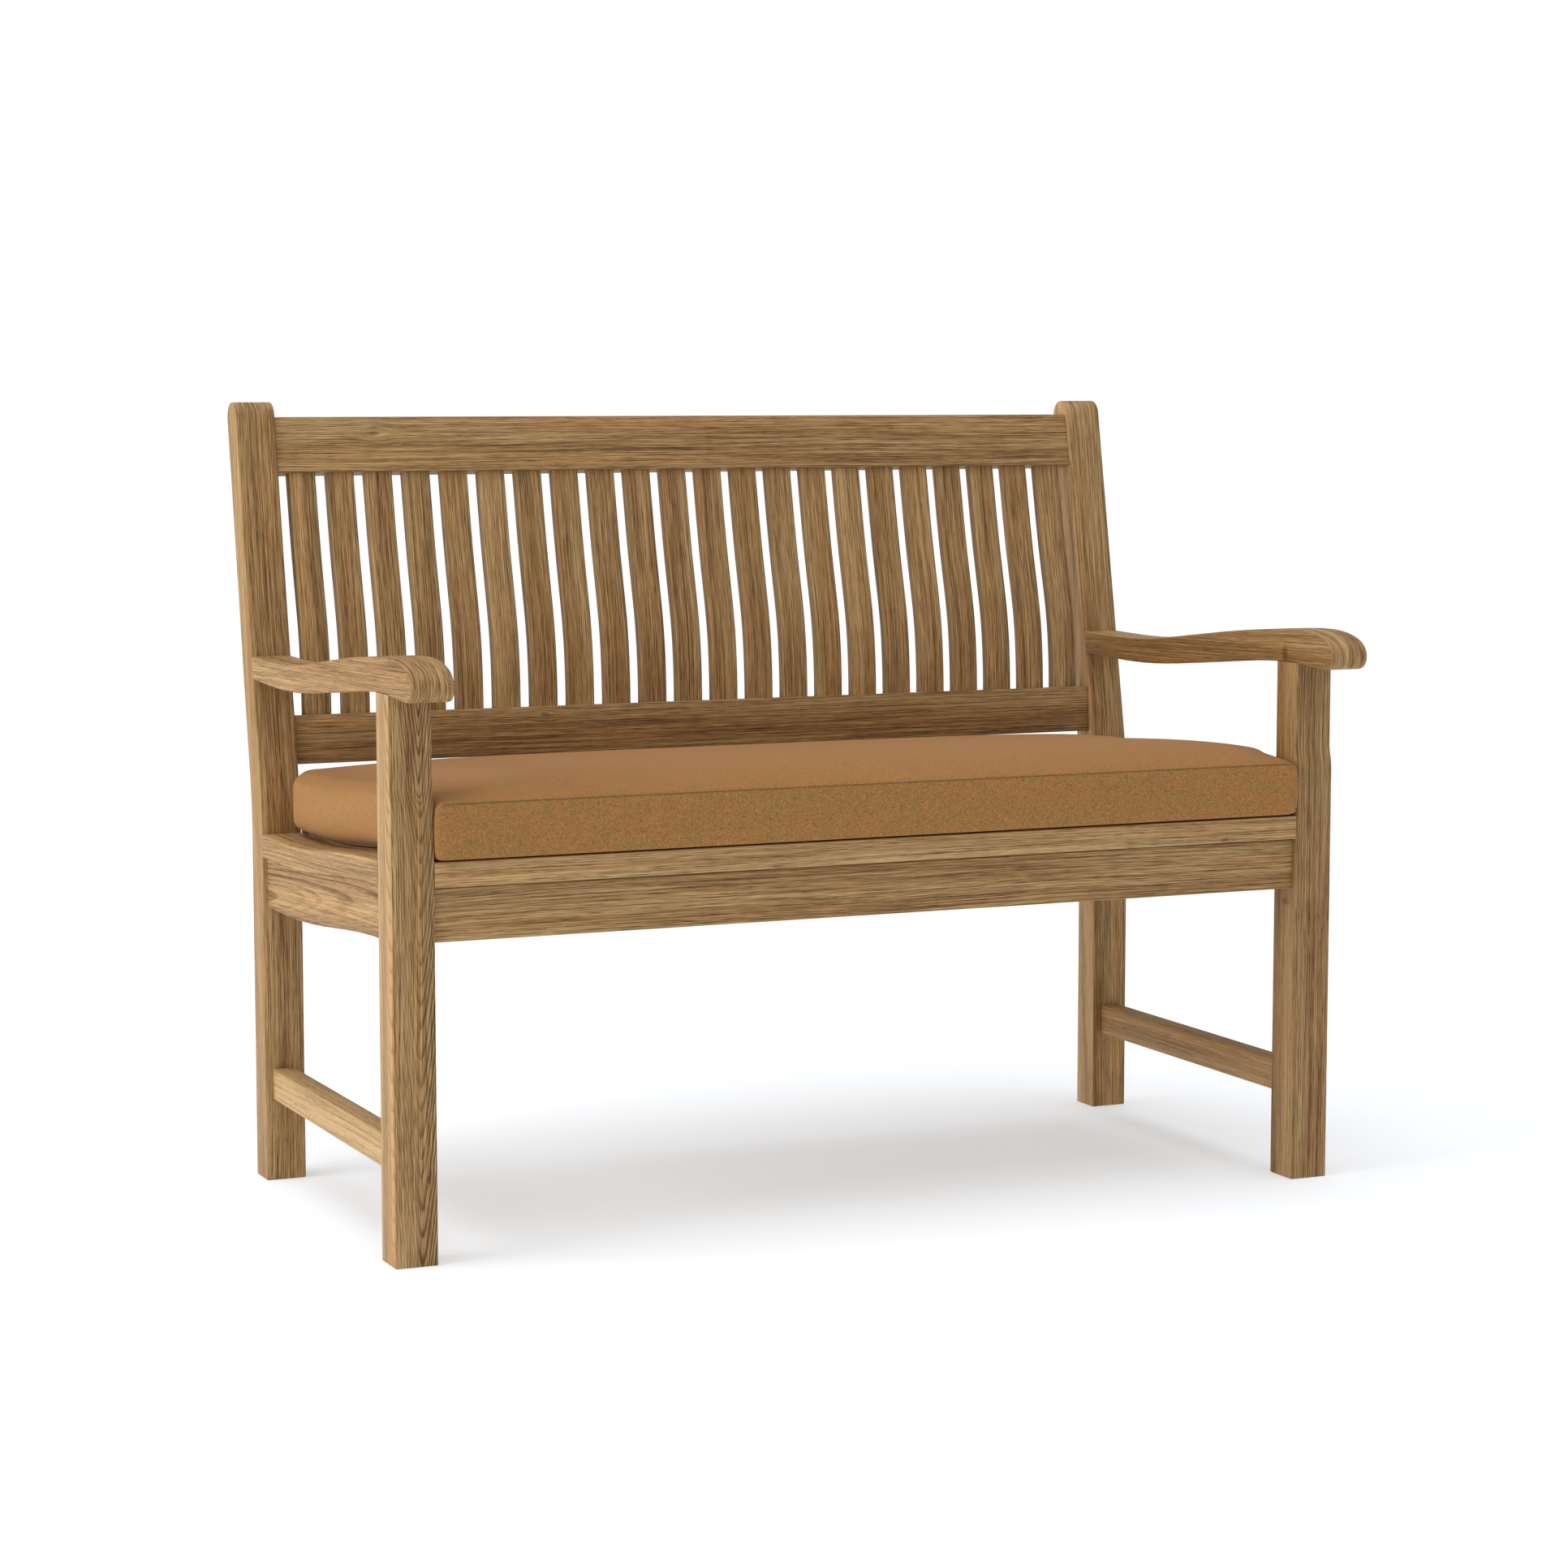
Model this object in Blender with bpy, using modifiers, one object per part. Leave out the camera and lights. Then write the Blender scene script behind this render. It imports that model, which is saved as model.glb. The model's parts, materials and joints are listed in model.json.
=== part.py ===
"""A two-seat teak garden bench with scrolled arms, a slatted back and a loose seat cushion.

Metres, +Z up. X runs along the bench, and the sitter faces -Y. Left and right are as seen from in
front, so left is -X. The origin is on the ground, at the centre of the bench's bounding box. Every
piece hangs from one empty, whose origin is the ground line under the front faces of the front legs,
so a y value below is a distance behind that face.
"""

import math

import bmesh
import bpy
from mathutils import Matrix, Vector

# Whole bench
WIDTH = 1.220
FRONT_TO_ORIGIN = 0.2839  # from the front legs' front faces back to the origin
GAP = 0.0003  # what touching pieces keep between them

# Legs
LEG_WIDTH = 0.0503
FRONT_LEG_DEPTH = 0.0500
FRONT_LEG_TOP = 0.6462
FRONT_LEG_STEP = 0.0050  # how far the front face steps back above the seat
FRONT_LEG_STEP_LOW = 0.515
FRONT_LEG_STEP_HIGH = 0.545
BACK_LEG_FRONT = 0.5140
BACK_LEG_BACK = 0.5590
BACK_LEG_KNEE = 0.464  # height at which the back leg starts to lean
BACK_LEG_KNEE_BLEND = 0.070  # length of the bend
BACK_LEG_FRONT_SLOPE = 0.188
BACK_LEG_BACK_SLOPE = 0.1765
BACK_LEG_TOP = 0.9653

# Seat: one S-curve shared by the end boards, the slats, the side aprons and the cushion
SEAT_FRONT_HEIGHT = 0.4573
SEAT_DROP = 0.0223
SEAT_CURVE_START = 0.050
SEAT_CURVE_LENGTH = 0.370
END_BOARD_THICKNESS = 0.0290
SIDE_APRON_INSET = 0.0060
SIDE_APRON_THICKNESS = 0.0250
SIDE_APRON_REACH = 0.0914  # from the seat's surface down to the apron's lower edge
FRONT_STRIP_BOTTOM = 0.4285
FRONT_APRON_SETBACK = 0.0080
APRON_DEPTH = 0.0280
FRONT_APRON_BOTTOM = 0.3660
REAR_RAIL_FRONT = 0.5195
REAR_RAIL_BOTTOM = 0.3438
SEAT_SLATS = 15
SEAT_SLAT_WIDTH = 0.0640
SEAT_SLAT_THICKNESS = 0.0180
TONGUE = 0.0080
TONGUE_LENGTH = 0.0120

# Back
BACK_SLATS = 22
BACK_SLAT_WIDTH = 0.0353
BACK_SLAT_THICKNESS = 0.0150
SLAT_HOUSING = 0.0120  # how far a back slat goes into a rail
LOWER_RAIL = {"centre": (0.5484, 0.5473), "depth": 0.026, "height": 0.0609, "lean": math.radians(4.8)}
TOP_RAIL = {"centre": (0.6159, 0.9100), "depth": 0.028, "height": 0.0703, "lean": math.radians(12.3)}
BACK_CURVE = (
    (0.5509, 0.5778),
    (0.5521, 0.6100),
    (0.5558, 0.6500),
    (0.5622, 0.6860),
    (0.5720, 0.7240),
    (0.5827, 0.7640),
    (0.5930, 0.8075),
    (0.6018, 0.8490),
    (0.6085, 0.8800),
)

# Arms: the side outline, from the top of the rear end over the scroll to the bottom of the rear end
ARM_OUTLINE = (
    (0.5487, 0.6527),
    (0.5000, 0.6520),
    (0.4430, 0.6518),
    (0.3950, 0.6532),
    (0.3400, 0.6572),
    (0.2600, 0.6658),
    (0.1900, 0.6738),
    (0.1200, 0.6806),
    (0.0600, 0.6851),
    (0.0150, 0.6873),
    (-0.0190, 0.6866),
    (-0.0450, 0.6826),
    (-0.0640, 0.6758),
    (-0.0735, 0.6672),
    (-0.0762, 0.6580),
    (-0.0735, 0.6487),
    (-0.0655, 0.6430),
    (-0.0520, 0.6417),
    (-0.0230, 0.6434),
    (0.0080, 0.6453),
    (0.0500, 0.6456),
    (0.1000, 0.6430),
    (0.1600, 0.6380),
    (0.2300, 0.6317),
    (0.3000, 0.6254),
    (0.3600, 0.6216),
    (0.4150, 0.6204),
    (0.4700, 0.6213),
    (0.5433, 0.6242),
)

# Stretchers and joinery
STRETCHER_INSET = 0.0100
STRETCHER_THICKNESS = 0.0280
STRETCHER_BOTTOM = 0.1015
STRETCHER_HEIGHT = 0.0390
TENON = 0.0120
TENON_DEPTH = 0.0220
TENON_ROOT = 0.0050  # the length of tenon buried in its own piece
MORTISE_MOUTH = 0.0060  # how far a mortise's cutter stands out of the piece it cuts
MORTISE_END = 0.0010  # clearance at the tip of a tenon

# Cushion
CUSHION_FRONT = -0.0060
CUSHION_BACK = 0.5100
CUSHION_HALF_LENGTH = 0.5585
CUSHION_BULGE = 0.0240  # how far each end swells out between the legs
CUSHION_BOXING = 0.0664  # height of the cushion's front edge above the seat
CUSHION_GROWTH = 0.0127  # how much higher the back edge stands above the seat
CUSHION_CROWN = 0.0150
CUSHION_MIDDLE_CROWN = 0.0010  # how much more the cushion rises toward its middle
TOP_DRAWN_IN = 0.35  # how much of that swelling the ends' top edges lose
CUSHION_CLEARANCE = 0.0008
FABRIC = 0.0015
FOAM_CLEARANCE = 0.0008
ZIP_LOW = 0.36  # the zip's slot, as fractions of the boxing's height
ZIP_HIGH = 0.64
ZIP_REACH = 0.824  # the slot's half length, as a fraction of the cushion's

INNER_HALF_WIDTH = WIDTH / 2 - LEG_WIDTH
SIDES = {"left": -1.0, "right": 1.0}


def clear_scene():
    for obj in list(bpy.data.objects):
        bpy.data.objects.remove(obj, do_unlink=True)


def smoothstep(value):
    value = min(max(value, 0.0), 1.0)
    return value * value * (3.0 - 2.0 * value)


def seat_height(y):
    """Height of the seat's surface at a distance y behind the front legs' front faces."""
    return SEAT_FRONT_HEIGHT - SEAT_DROP * smoothstep((y - SEAT_CURVE_START) / SEAT_CURVE_LENGTH)


def through(points, steps):
    """A smooth curve through the points (Catmull-Rom), with steps segments between neighbours."""
    points = [Vector(point) for point in points]
    ends = [2 * points[0] - points[1], *points, 2 * points[-1] - points[-2]]
    curve = []
    for before, start, end, after in zip(ends, ends[1:], ends[2:], ends[3:]):
        for step in range(steps):
            t = step / steps
            curve.append(
                0.5
                * (
                    2 * start
                    + (end - before) * t
                    + (2 * before - 5 * start + 4 * end - after) * t**2
                    + (3 * start - before - 3 * end + after) * t**3
                )
            )
    return curve + [points[-1]]


def thickened(line, thickness):
    """The closed outline of a strip of even thickness along a centre line."""
    rear, front = [], []
    for index, point in enumerate(line):
        before = line[max(index - 1, 0)]
        after = line[min(index + 1, len(line) - 1)]
        along = (after - before).normalized()
        normal = Vector((along.y, -along.x)) * thickness / 2
        rear.append(point + normal)
        front.append(point - normal)
    return rear + front[::-1]


def material(name, colour, roughness):
    made = bpy.data.materials.new(name)
    made.use_nodes = True
    shader = made.node_tree.nodes["Principled BSDF"]
    shader.inputs["Base Color"].default_value = (*colour, 1.0)
    shader.inputs["Roughness"].default_value = roughness
    shader.inputs["Metallic"].default_value = 0.0
    return made


class Workshop:
    """The collections, and the empty that every piece hangs from."""

    def __init__(self):
        scene = bpy.context.scene.collection
        self.parts = bpy.data.collections.new("garden_bench")
        self.cutters = bpy.data.collections.new("cutters")
        scene.children.link(self.parts)
        scene.children.link(self.cutters)
        self.base = bpy.data.objects.new("bench_base", None)
        self.base.location = (0.0, -FRONT_TO_ORIGIN, 0.0)
        self.parts.objects.link(self.base)

    def place(self, name, mesh, location=(0.0, 0.0, 0.0), rotation=(0.0, 0.0, 0.0), helper=False):
        obj = bpy.data.objects.new(name, mesh)
        obj.location = location
        obj.rotation_euler = rotation
        obj.parent = self.base
        (self.cutters if helper else self.parts).objects.link(obj)
        if helper:
            obj.hide_render = True
            obj.display_type = "WIRE"
        return obj

    def box(self, name, size, location, lean=0.0, xs=(0.0,), helper=False):
        """A box, or one box at each x of xs, leaning back by an angle."""
        mesh = bpy.data.meshes.new(name)
        shape = bmesh.new()
        for x in xs:
            placed = Matrix.Translation((x, 0.0, 0.0)) @ Matrix.Diagonal((*size, 1.0))
            bmesh.ops.create_cube(shape, size=1.0, matrix=placed)
        shape.to_mesh(mesh)
        shape.free()
        return self.place(name, mesh, location, (-lean, 0.0, 0.0), helper)

    def board(self, name, outline, thickness):
        """The mesh of a flat outline, given in y and z, with a thickness along X."""
        curve = bpy.data.curves.new(name, "CURVE")
        curve.dimensions = "2D"
        curve.fill_mode = "BOTH"
        curve.extrude = thickness / 2
        spline = curve.splines.new("POLY")
        spline.points.add(len(outline) - 1)
        for point, (y, z) in zip(spline.points, outline):
            point.co = (y, z, 0.0, 1.0)
        spline.use_cyclic_u = True
        guide = bpy.data.objects.new(name + "_outline", curve)
        self.parts.objects.link(guide)
        graph = bpy.context.evaluated_depsgraph_get()
        mesh = bpy.data.meshes.new_from_object(guide.evaluated_get(graph))
        bpy.data.objects.remove(guide, do_unlink=True)
        shape = bmesh.new()
        shape.from_mesh(mesh)
        bmesh.ops.remove_doubles(shape, verts=shape.verts, dist=0.00002)
        flat = math.radians(0.05)
        bmesh.ops.dissolve_limit(shape, angle_limit=flat, verts=shape.verts, edges=shape.edges)
        # Stand the outline up: its x becomes y, its y becomes z and its thickness runs along X.
        stand = Matrix(((0, 0, 1, 0), (1, 0, 0, 0), (0, 1, 0, 0), (0, 0, 0, 1)))
        bmesh.ops.transform(shape, matrix=stand, verts=shape.verts)
        bmesh.ops.recalc_face_normals(shape, faces=shape.faces)
        shape.to_mesh(mesh)
        shape.free()
        return mesh

    def boolean(self, obj, other, operation):
        modifier = obj.modifiers.new(other.name, "BOOLEAN")
        modifier.operation = operation
        modifier.object = other

    def mortise_and_tenon(self, rail, post, shoulder, direction, section, depth=TENON_DEPTH, lean=0.0):
        """A tenon on the rail, running from its shoulder along an axis, and its mortise in the post.

        The section is the tenon's size across that axis, in x, y, z order.
        """
        direction = Vector(direction)
        shoulder = Vector(shoulder)
        axis = [abs(value) for value in direction].index(1.0)
        tenon_size = list(section)
        tenon_size.insert(axis, depth + TENON_ROOT)
        mortise_size = [side + 2 * GAP for side in section]
        mortise_size.insert(axis, depth + MORTISE_END + MORTISE_MOUTH)
        tenon_centre = shoulder + direction * (depth - TENON_ROOT) / 2
        mortise_centre = shoulder + direction * (depth + MORTISE_END - MORTISE_MOUTH) / 2
        pair = f"{rail.name}_in_{post.name}"
        tenon = self.box("tenon_" + pair, tenon_size, tenon_centre, lean, helper=True)
        mortise = self.box("mortise_" + pair, mortise_size, mortise_centre, lean, helper=True)
        self.boolean(rail, tenon, "UNION")
        self.boolean(post, mortise, "DIFFERENCE")


def front_leg_outline():
    rise = FRONT_LEG_STEP_HIGH - FRONT_LEG_STEP_LOW
    step = [
        (FRONT_LEG_STEP * smoothstep(index / 6), FRONT_LEG_STEP_LOW + rise * index / 6)
        for index in range(7)
    ]
    return [
        (0.0, 0.0),
        *step,
        (FRONT_LEG_STEP, FRONT_LEG_TOP),
        (FRONT_LEG_DEPTH, FRONT_LEG_TOP),
        (FRONT_LEG_DEPTH, 0.0),
    ]


def back_leg_face(foot, slope, z):
    """The y of a back leg's front or back face: upright, then bending into a straight lean."""
    past = z - BACK_LEG_KNEE + BACK_LEG_KNEE_BLEND / 2
    if past <= 0:
        return foot
    if past < BACK_LEG_KNEE_BLEND:
        return foot + slope * past**2 / (2 * BACK_LEG_KNEE_BLEND)
    return foot + slope * (z - BACK_LEG_KNEE)


def back_leg_front(z):
    return back_leg_face(BACK_LEG_FRONT, BACK_LEG_FRONT_SLOPE, z)


def back_leg_back(z):
    return back_leg_face(BACK_LEG_BACK, BACK_LEG_BACK_SLOPE, z)


def back_leg_outline():
    low = BACK_LEG_KNEE - BACK_LEG_KNEE_BLEND / 2
    bend = [low + BACK_LEG_KNEE_BLEND * index / 5 for index in range(6)]
    radius = (back_leg_back(BACK_LEG_TOP) - back_leg_front(BACK_LEG_TOP)) / 2
    spring = BACK_LEG_TOP - radius
    centre = (back_leg_back(spring) + back_leg_front(spring)) / 2
    crown = [
        (centre - radius * math.cos(angle), spring + radius * math.sin(angle))
        for angle in [math.pi * index / 12 for index in range(13)]
    ]
    front = [(back_leg_front(z), z) for z in [0.0, *bend]]
    back = [(back_leg_back(z), z) for z in [0.0, *bend]]
    return front + crown + back[::-1]


def seat_line(start, end, offset, steps=10):
    """Points along the seat's curve, lowered by an offset."""
    ys = [start + (end - start) * index / steps for index in range(steps + 1)]
    return [(y, seat_height(y) - offset) for y in ys]


def seat_slat_outline():
    front = FRONT_LEG_DEPTH + GAP
    back = REAR_RAIL_FRONT + APRON_DEPTH
    tip = FRONT_LEG_DEPTH - TONGUE_LENGTH
    middle = SEAT_FRONT_HEIGHT - SEAT_SLAT_THICKNESS / 2
    return [
        (tip, middle - TONGUE / 2),
        (tip, middle + TONGUE / 2),
        (front, middle + TONGUE / 2),
        *seat_line(front, back, 0.0),
        *seat_line(front, back, SEAT_SLAT_THICKNESS)[::-1],
        (front, middle - TONGUE / 2),
    ]


def back_slat_outline():
    """The S-curved slat, with straight ends that follow the rails' lean."""
    curve = through(BACK_CURVE, 2)
    low = Vector((math.sin(LOWER_RAIL["lean"]), math.cos(LOWER_RAIL["lean"])))
    high = Vector((math.sin(TOP_RAIL["lean"]), math.cos(TOP_RAIL["lean"])))
    line = [curve[0] - low * SLAT_HOUSING, *curve, curve[-1] + high * SLAT_HOUSING]
    return thickened(line, BACK_SLAT_THICKNESS)


def spread(count, width):
    """The x of each slat's centre, for even gaps between the legs' inner faces."""
    space = (2 * INNER_HALF_WIDTH - count * width) / (count + 1)
    first = -INNER_HALF_WIDTH + space + width / 2
    return [first + (width + space) * index for index in range(count)]


def make_legs(shop):
    front_mesh = shop.board("front_leg", front_leg_outline(), LEG_WIDTH)
    back_mesh = shop.board("back_leg", back_leg_outline(), LEG_WIDTH)
    legs = {}
    for side, sign in SIDES.items():
        x = sign * (WIDTH / 2 - LEG_WIDTH / 2)
        legs["front", side] = shop.place(f"front_leg_{side}", front_mesh.copy(), (x, 0, 0))
        legs["back", side] = shop.place(f"back_leg_{side}", back_mesh.copy(), (x, 0, 0))
    return legs


def make_arms(shop, legs):
    mesh = shop.board("arm", through(ARM_OUTLINE, 2), LEG_WIDTH)
    foot = FRONT_LEG_TOP + GAP
    for side, sign in SIDES.items():
        x = sign * (WIDTH / 2 - LEG_WIDTH / 2)
        arm = shop.place(f"arm_{side}", mesh.copy(), (x, 0, 0))
        depth = FRONT_LEG_DEPTH - FRONT_LEG_STEP + 2 * GAP
        seat_size = (LEG_WIDTH * 1.2, depth, 0.040)
        seat_centre = (x, (FRONT_LEG_DEPTH + FRONT_LEG_STEP) / 2, foot - 0.020)
        seat = shop.box(f"leg_seat_in_arm_{side}", seat_size, seat_centre, helper=True)
        shop.boolean(arm, seat, "DIFFERENCE")
        leg_top = (x, (FRONT_LEG_DEPTH + FRONT_LEG_STEP) / 2, FRONT_LEG_TOP)
        shop.mortise_and_tenon(legs["front", side], arm, leg_top, (0, 0, 1), (0.020, 0.018))
        rear_end = (x, back_leg_front(0.6385) - GAP, 0.6385)
        shop.mortise_and_tenon(arm, legs["back", side], rear_end, (0, 1, 0), (TENON, 0.016), 0.020)


def make_side_frames(shop, legs):
    """End boards, side aprons and stretchers, which join a front leg to a back leg."""
    front = FRONT_LEG_DEPTH + GAP
    back = BACK_LEG_FRONT - GAP
    top = seat_line(front, back, 0.0)
    under = seat_line(front, back, END_BOARD_THICKNESS)
    apron_top = seat_line(front, back, END_BOARD_THICKNESS + GAP)
    apron_bottom = seat_line(front, back, SIDE_APRON_REACH)
    board_mesh = shop.board("seat_end_board", top + under[::-1], LEG_WIDTH)
    apron_mesh = shop.board("side_apron", apron_top + apron_bottom[::-1], SIDE_APRON_THICKNESS)
    for side, sign in SIDES.items():
        shop.place(f"seat_end_board_{side}", board_mesh.copy(), (sign * (WIDTH - LEG_WIDTH) / 2, 0, 0))
        x = sign * (WIDTH / 2 - SIDE_APRON_INSET - SIDE_APRON_THICKNESS / 2)
        apron = shop.place(f"side_apron_{side}", apron_mesh.copy(), (x, 0, 0))
        x_stretcher = sign * (WIDTH / 2 - STRETCHER_INSET - STRETCHER_THICKNESS / 2)
        z_stretcher = STRETCHER_BOTTOM + STRETCHER_HEIGHT / 2
        size = (STRETCHER_THICKNESS, back - front, STRETCHER_HEIGHT)
        centre = (x_stretcher, (front + back) / 2, z_stretcher)
        stretcher = shop.box(f"side_stretcher_{side}", size, centre)
        for end, y, way in (("front", front, -1), ("back", back, 1)):
            leg = legs[end, side]
            z = seat_height(y) - (END_BOARD_THICKNESS + SIDE_APRON_REACH) / 2
            shop.mortise_and_tenon(apron, leg, (x, y, z), (0, way, 0), (TENON, 0.042))
            shoulder = (x_stretcher, y, z_stretcher)
            shop.mortise_and_tenon(stretcher, leg, shoulder, (0, way, 0), (TENON, 0.026))


def make_seat_rails(shop, legs):
    length = 2 * (INNER_HALF_WIDTH - GAP)
    strip_centre = (0, FRONT_LEG_DEPTH / 2, (FRONT_STRIP_BOTTOM + SEAT_FRONT_HEIGHT) / 2)
    strip_size = (length, FRONT_LEG_DEPTH, SEAT_FRONT_HEIGHT - FRONT_STRIP_BOTTOM)
    strip = shop.box("seat_front_strip", strip_size, strip_centre)
    groove_size = (length - 0.004, TONGUE_LENGTH + 2 * MORTISE_END, TONGUE + 2 * GAP)
    groove_centre = (
        0,
        FRONT_LEG_DEPTH - TONGUE_LENGTH / 2,
        SEAT_FRONT_HEIGHT - SEAT_SLAT_THICKNESS / 2,
    )
    groove = shop.box("groove_in_seat_front_strip", groove_size, groove_centre, helper=True)
    shop.boolean(strip, groove, "DIFFERENCE")

    rear_top = SEAT_FRONT_HEIGHT - SEAT_DROP - SEAT_SLAT_THICKNESS - GAP
    rails = (
        ("front_apron", "front", FRONT_APRON_SETBACK, FRONT_APRON_BOTTOM, FRONT_STRIP_BOTTOM - GAP),
        ("rear_seat_rail", "back", REAR_RAIL_FRONT, REAR_RAIL_BOTTOM, rear_top),
    )
    for name, end, y, low, high in rails:
        centre = (0, y + APRON_DEPTH / 2, (low + high) / 2)
        rail = shop.box(name, (length, APRON_DEPTH, high - low), centre)
        for side, sign in SIDES.items():
            shoulder = (sign * length / 2, centre[1], centre[2])
            section = (TENON, high - low - 0.020)
            shop.mortise_and_tenon(rail, legs[end, side], shoulder, (sign, 0, 0), section)


def make_seat_slats(shop):
    mesh = shop.board("seat_slat", seat_slat_outline(), SEAT_SLAT_WIDTH)
    for number, x in enumerate(spread(SEAT_SLATS, SEAT_SLAT_WIDTH), start=1):
        shop.place(f"seat_slat_{number:02d}", mesh.copy(), (x, 0, 0))


def make_back(shop, legs):
    xs = spread(BACK_SLATS, BACK_SLAT_WIDTH)
    length = 2 * (INNER_HALF_WIDTH - GAP)
    for name, shape, toward in (("lower_back_rail", LOWER_RAIL, 1), ("top_back_rail", TOP_RAIL, -1)):
        y, z = shape["centre"]
        lean = shape["lean"]
        rail = shop.box(name, (length, shape["depth"], shape["height"]), (0, y, z), lean)
        for side, sign in SIDES.items():
            shoulder = (sign * length / 2, y, z)
            section = (TENON, shape["height"] - 0.020)
            shop.mortise_and_tenon(
                rail, legs["back", side], shoulder, (sign, 0, 0), section, 0.025, lean
            )
        # The slats' housings open on the edge that faces the other rail.
        end = Vector(BACK_CURVE[0 if toward > 0 else -1])
        up = Vector((math.sin(lean), math.cos(lean)))
        tip = end - toward * up * (SLAT_HOUSING + MORTISE_END)
        depth = 0.040
        middle = tip + toward * up * depth / 2
        housing = (BACK_SLAT_WIDTH + 2 * GAP, BACK_SLAT_THICKNESS + 2 * GAP, depth)
        cutter = shop.box(f"housings_in_{name}", housing, (0, *middle), lean, xs, helper=True)
        shop.boolean(rail, cutter, "DIFFERENCE")
    mesh = shop.board("back_slat", back_slat_outline(), BACK_SLAT_WIDTH)
    for number, x in enumerate(xs, start=1):
        shop.place(f"back_slat_{number:02d}", mesh.copy(), (x, 0, 0))


def cushion_edge(v):
    """Height of the cushion's edge above the seat, for v from -1 at the front to 1 at the back."""
    return CUSHION_BOXING + CUSHION_GROWTH * (1 - ((1 - v) / 2) ** 5)


def cushion_point(u, y, w, inset):
    """A point of the cushion: u runs -1 to 1 along it, y to the back and w from 0 up to 1."""
    swell = smoothstep((y - 0.053) / 0.045) * smoothstep((CUSHION_BACK + 0.004 - y) / 0.040)
    drawn_in = (2 * w - 1) ** 4 * (TOP_DRAWN_IN if w > 0.5 else 1.0)
    half = CUSHION_HALF_LENGTH - inset + CUSHION_BULGE * swell * (1 - drawn_in)
    middle = (CUSHION_FRONT + CUSHION_BACK) / 2
    v = (y - middle) / (CUSHION_BACK - middle)
    low = seat_height(y) + CUSHION_CLEARANCE + inset
    puff = (CUSHION_CROWN * (1 - u**20) + CUSHION_MIDDLE_CROWN * (1 - u**2)) * (1 - v**8)
    high = seat_height(y) + cushion_edge(v) - inset + puff
    depth = (CUSHION_BACK - middle - inset) / (CUSHION_BACK - middle)
    return Vector((u * half, middle + (y - middle) * depth, low + (high - low) * w))


def cushion_mesh(name, inset, slot):
    """The cushion's skin: a cube cut into bands, each corner then moved onto the cushion."""
    halves = (0.3, 0.6, ZIP_REACH, 0.90, 0.95, 0.985)
    us = (*[-station for station in halves], 0.0, *halves)
    ys = (0.006, 0.022, 0.040, 0.053, 0.066, 0.080, 0.098, 0.140, 0.200, 0.270, 0.340, 0.400)
    ys = (*ys, 0.440, 0.474, 0.485, 0.495, 0.503)
    ws = (0.12, ZIP_LOW, ZIP_HIGH, 0.88)
    shape = bmesh.new()
    span = CUSHION_BACK - CUSHION_FRONT
    cube = Matrix.Translation((0, CUSHION_FRONT + span / 2, 0.5)) @ Matrix.Diagonal((2, span, 1, 1))
    bmesh.ops.create_cube(shape, size=1.0, matrix=cube)
    for axis, stations in enumerate((us, ys, ws)):
        normal = Vector((0, 0, 0))
        normal[axis] = 1.0
        for station in stations:
            every = shape.verts[:] + shape.edges[:] + shape.faces[:]
            bmesh.ops.bisect_plane(shape, geom=every, plane_co=normal * station, plane_no=normal)
    if slot:
        rear = [face for face in shape.faces if face.normal.y > 0.5]
        centres = [(face, face.calc_center_median()) for face in rear]
        opened = [f for f, c in centres if abs(c.x) < ZIP_REACH and ZIP_LOW < c.z < ZIP_HIGH]
        bmesh.ops.delete(shape, geom=opened, context="FACES")
    for vertex in shape.verts:
        vertex.co = cushion_point(*vertex.co, inset)
    bmesh.ops.recalc_face_normals(shape, faces=shape.faces)
    mesh = bpy.data.meshes.new(name)
    shape.to_mesh(mesh)
    shape.free()
    mesh.shade_smooth()
    return mesh


def make_cushion(shop):
    cover = shop.place("cushion_cover", cushion_mesh("cushion_cover", 0.0, slot=True))
    shell = cover.modifiers.new("fabric", "SOLIDIFY")
    shell.thickness = FABRIC
    shell.offset = -1.0
    shell.use_even_offset = True
    shop.place("cushion_foam", cushion_mesh("cushion_foam", FABRIC + FOAM_CLEARANCE, slot=False))

    rear_height = seat_height(CUSHION_BACK)
    low = rear_height + CUSHION_CLEARANCE
    height = cushion_edge(1.0) - CUSHION_CLEARANCE
    slot = (ZIP_HIGH - ZIP_LOW) * height
    centre = (0, CUSHION_BACK - FABRIC / 2, low + height / 2)
    reach = 2 * (ZIP_REACH * CUSHION_HALF_LENGTH - 0.001)
    tape = shop.box("cushion_zip", (reach, FABRIC / 2, slot - 0.002), centre)
    teeth_at = (0, CUSHION_BACK - FABRIC / 4, centre[2])
    slider_at = (reach / 2 - 0.020, CUSHION_BACK, centre[2])
    puller_at = (reach / 2 - 0.036, CUSHION_BACK + 0.0008, centre[2])
    additions = (
        ("zip_teeth", (reach - 0.010, FABRIC, 0.005), teeth_at),
        ("zip_slider", (0.012, 0.0036, 0.009), slider_at),
        ("zip_puller", (0.026, 0.0012, 0.005), puller_at),
    )
    for name, size, place in additions:
        shop.boolean(tape, shop.box(name, size, place, helper=True), "UNION")


def colour_parts(shop):
    looks = {
        "cushion_cover": ((0.40, 0.21, 0.085), 0.90),
        "cushion_foam": ((0.85, 0.78, 0.60), 0.95),
        "cushion_zip": ((0.10, 0.06, 0.03), 0.50),
    }
    paler = {"arm": 0.03, "seat": 0.01, "side": 0.02}  # by the first word of a piece's name
    for obj in shop.parts.objects:
        if obj.type != "MESH":
            continue
        lift = paler.get(obj.name.split("_")[0], 0.0)
        teak = ((0.34 + lift, 0.21 + lift, 0.10 + lift / 2), 0.60)
        colour, roughness = looks.get(obj.name, teak)
        obj.data.materials.clear()
        obj.data.materials.append(material(obj.name, colour, roughness))


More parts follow.
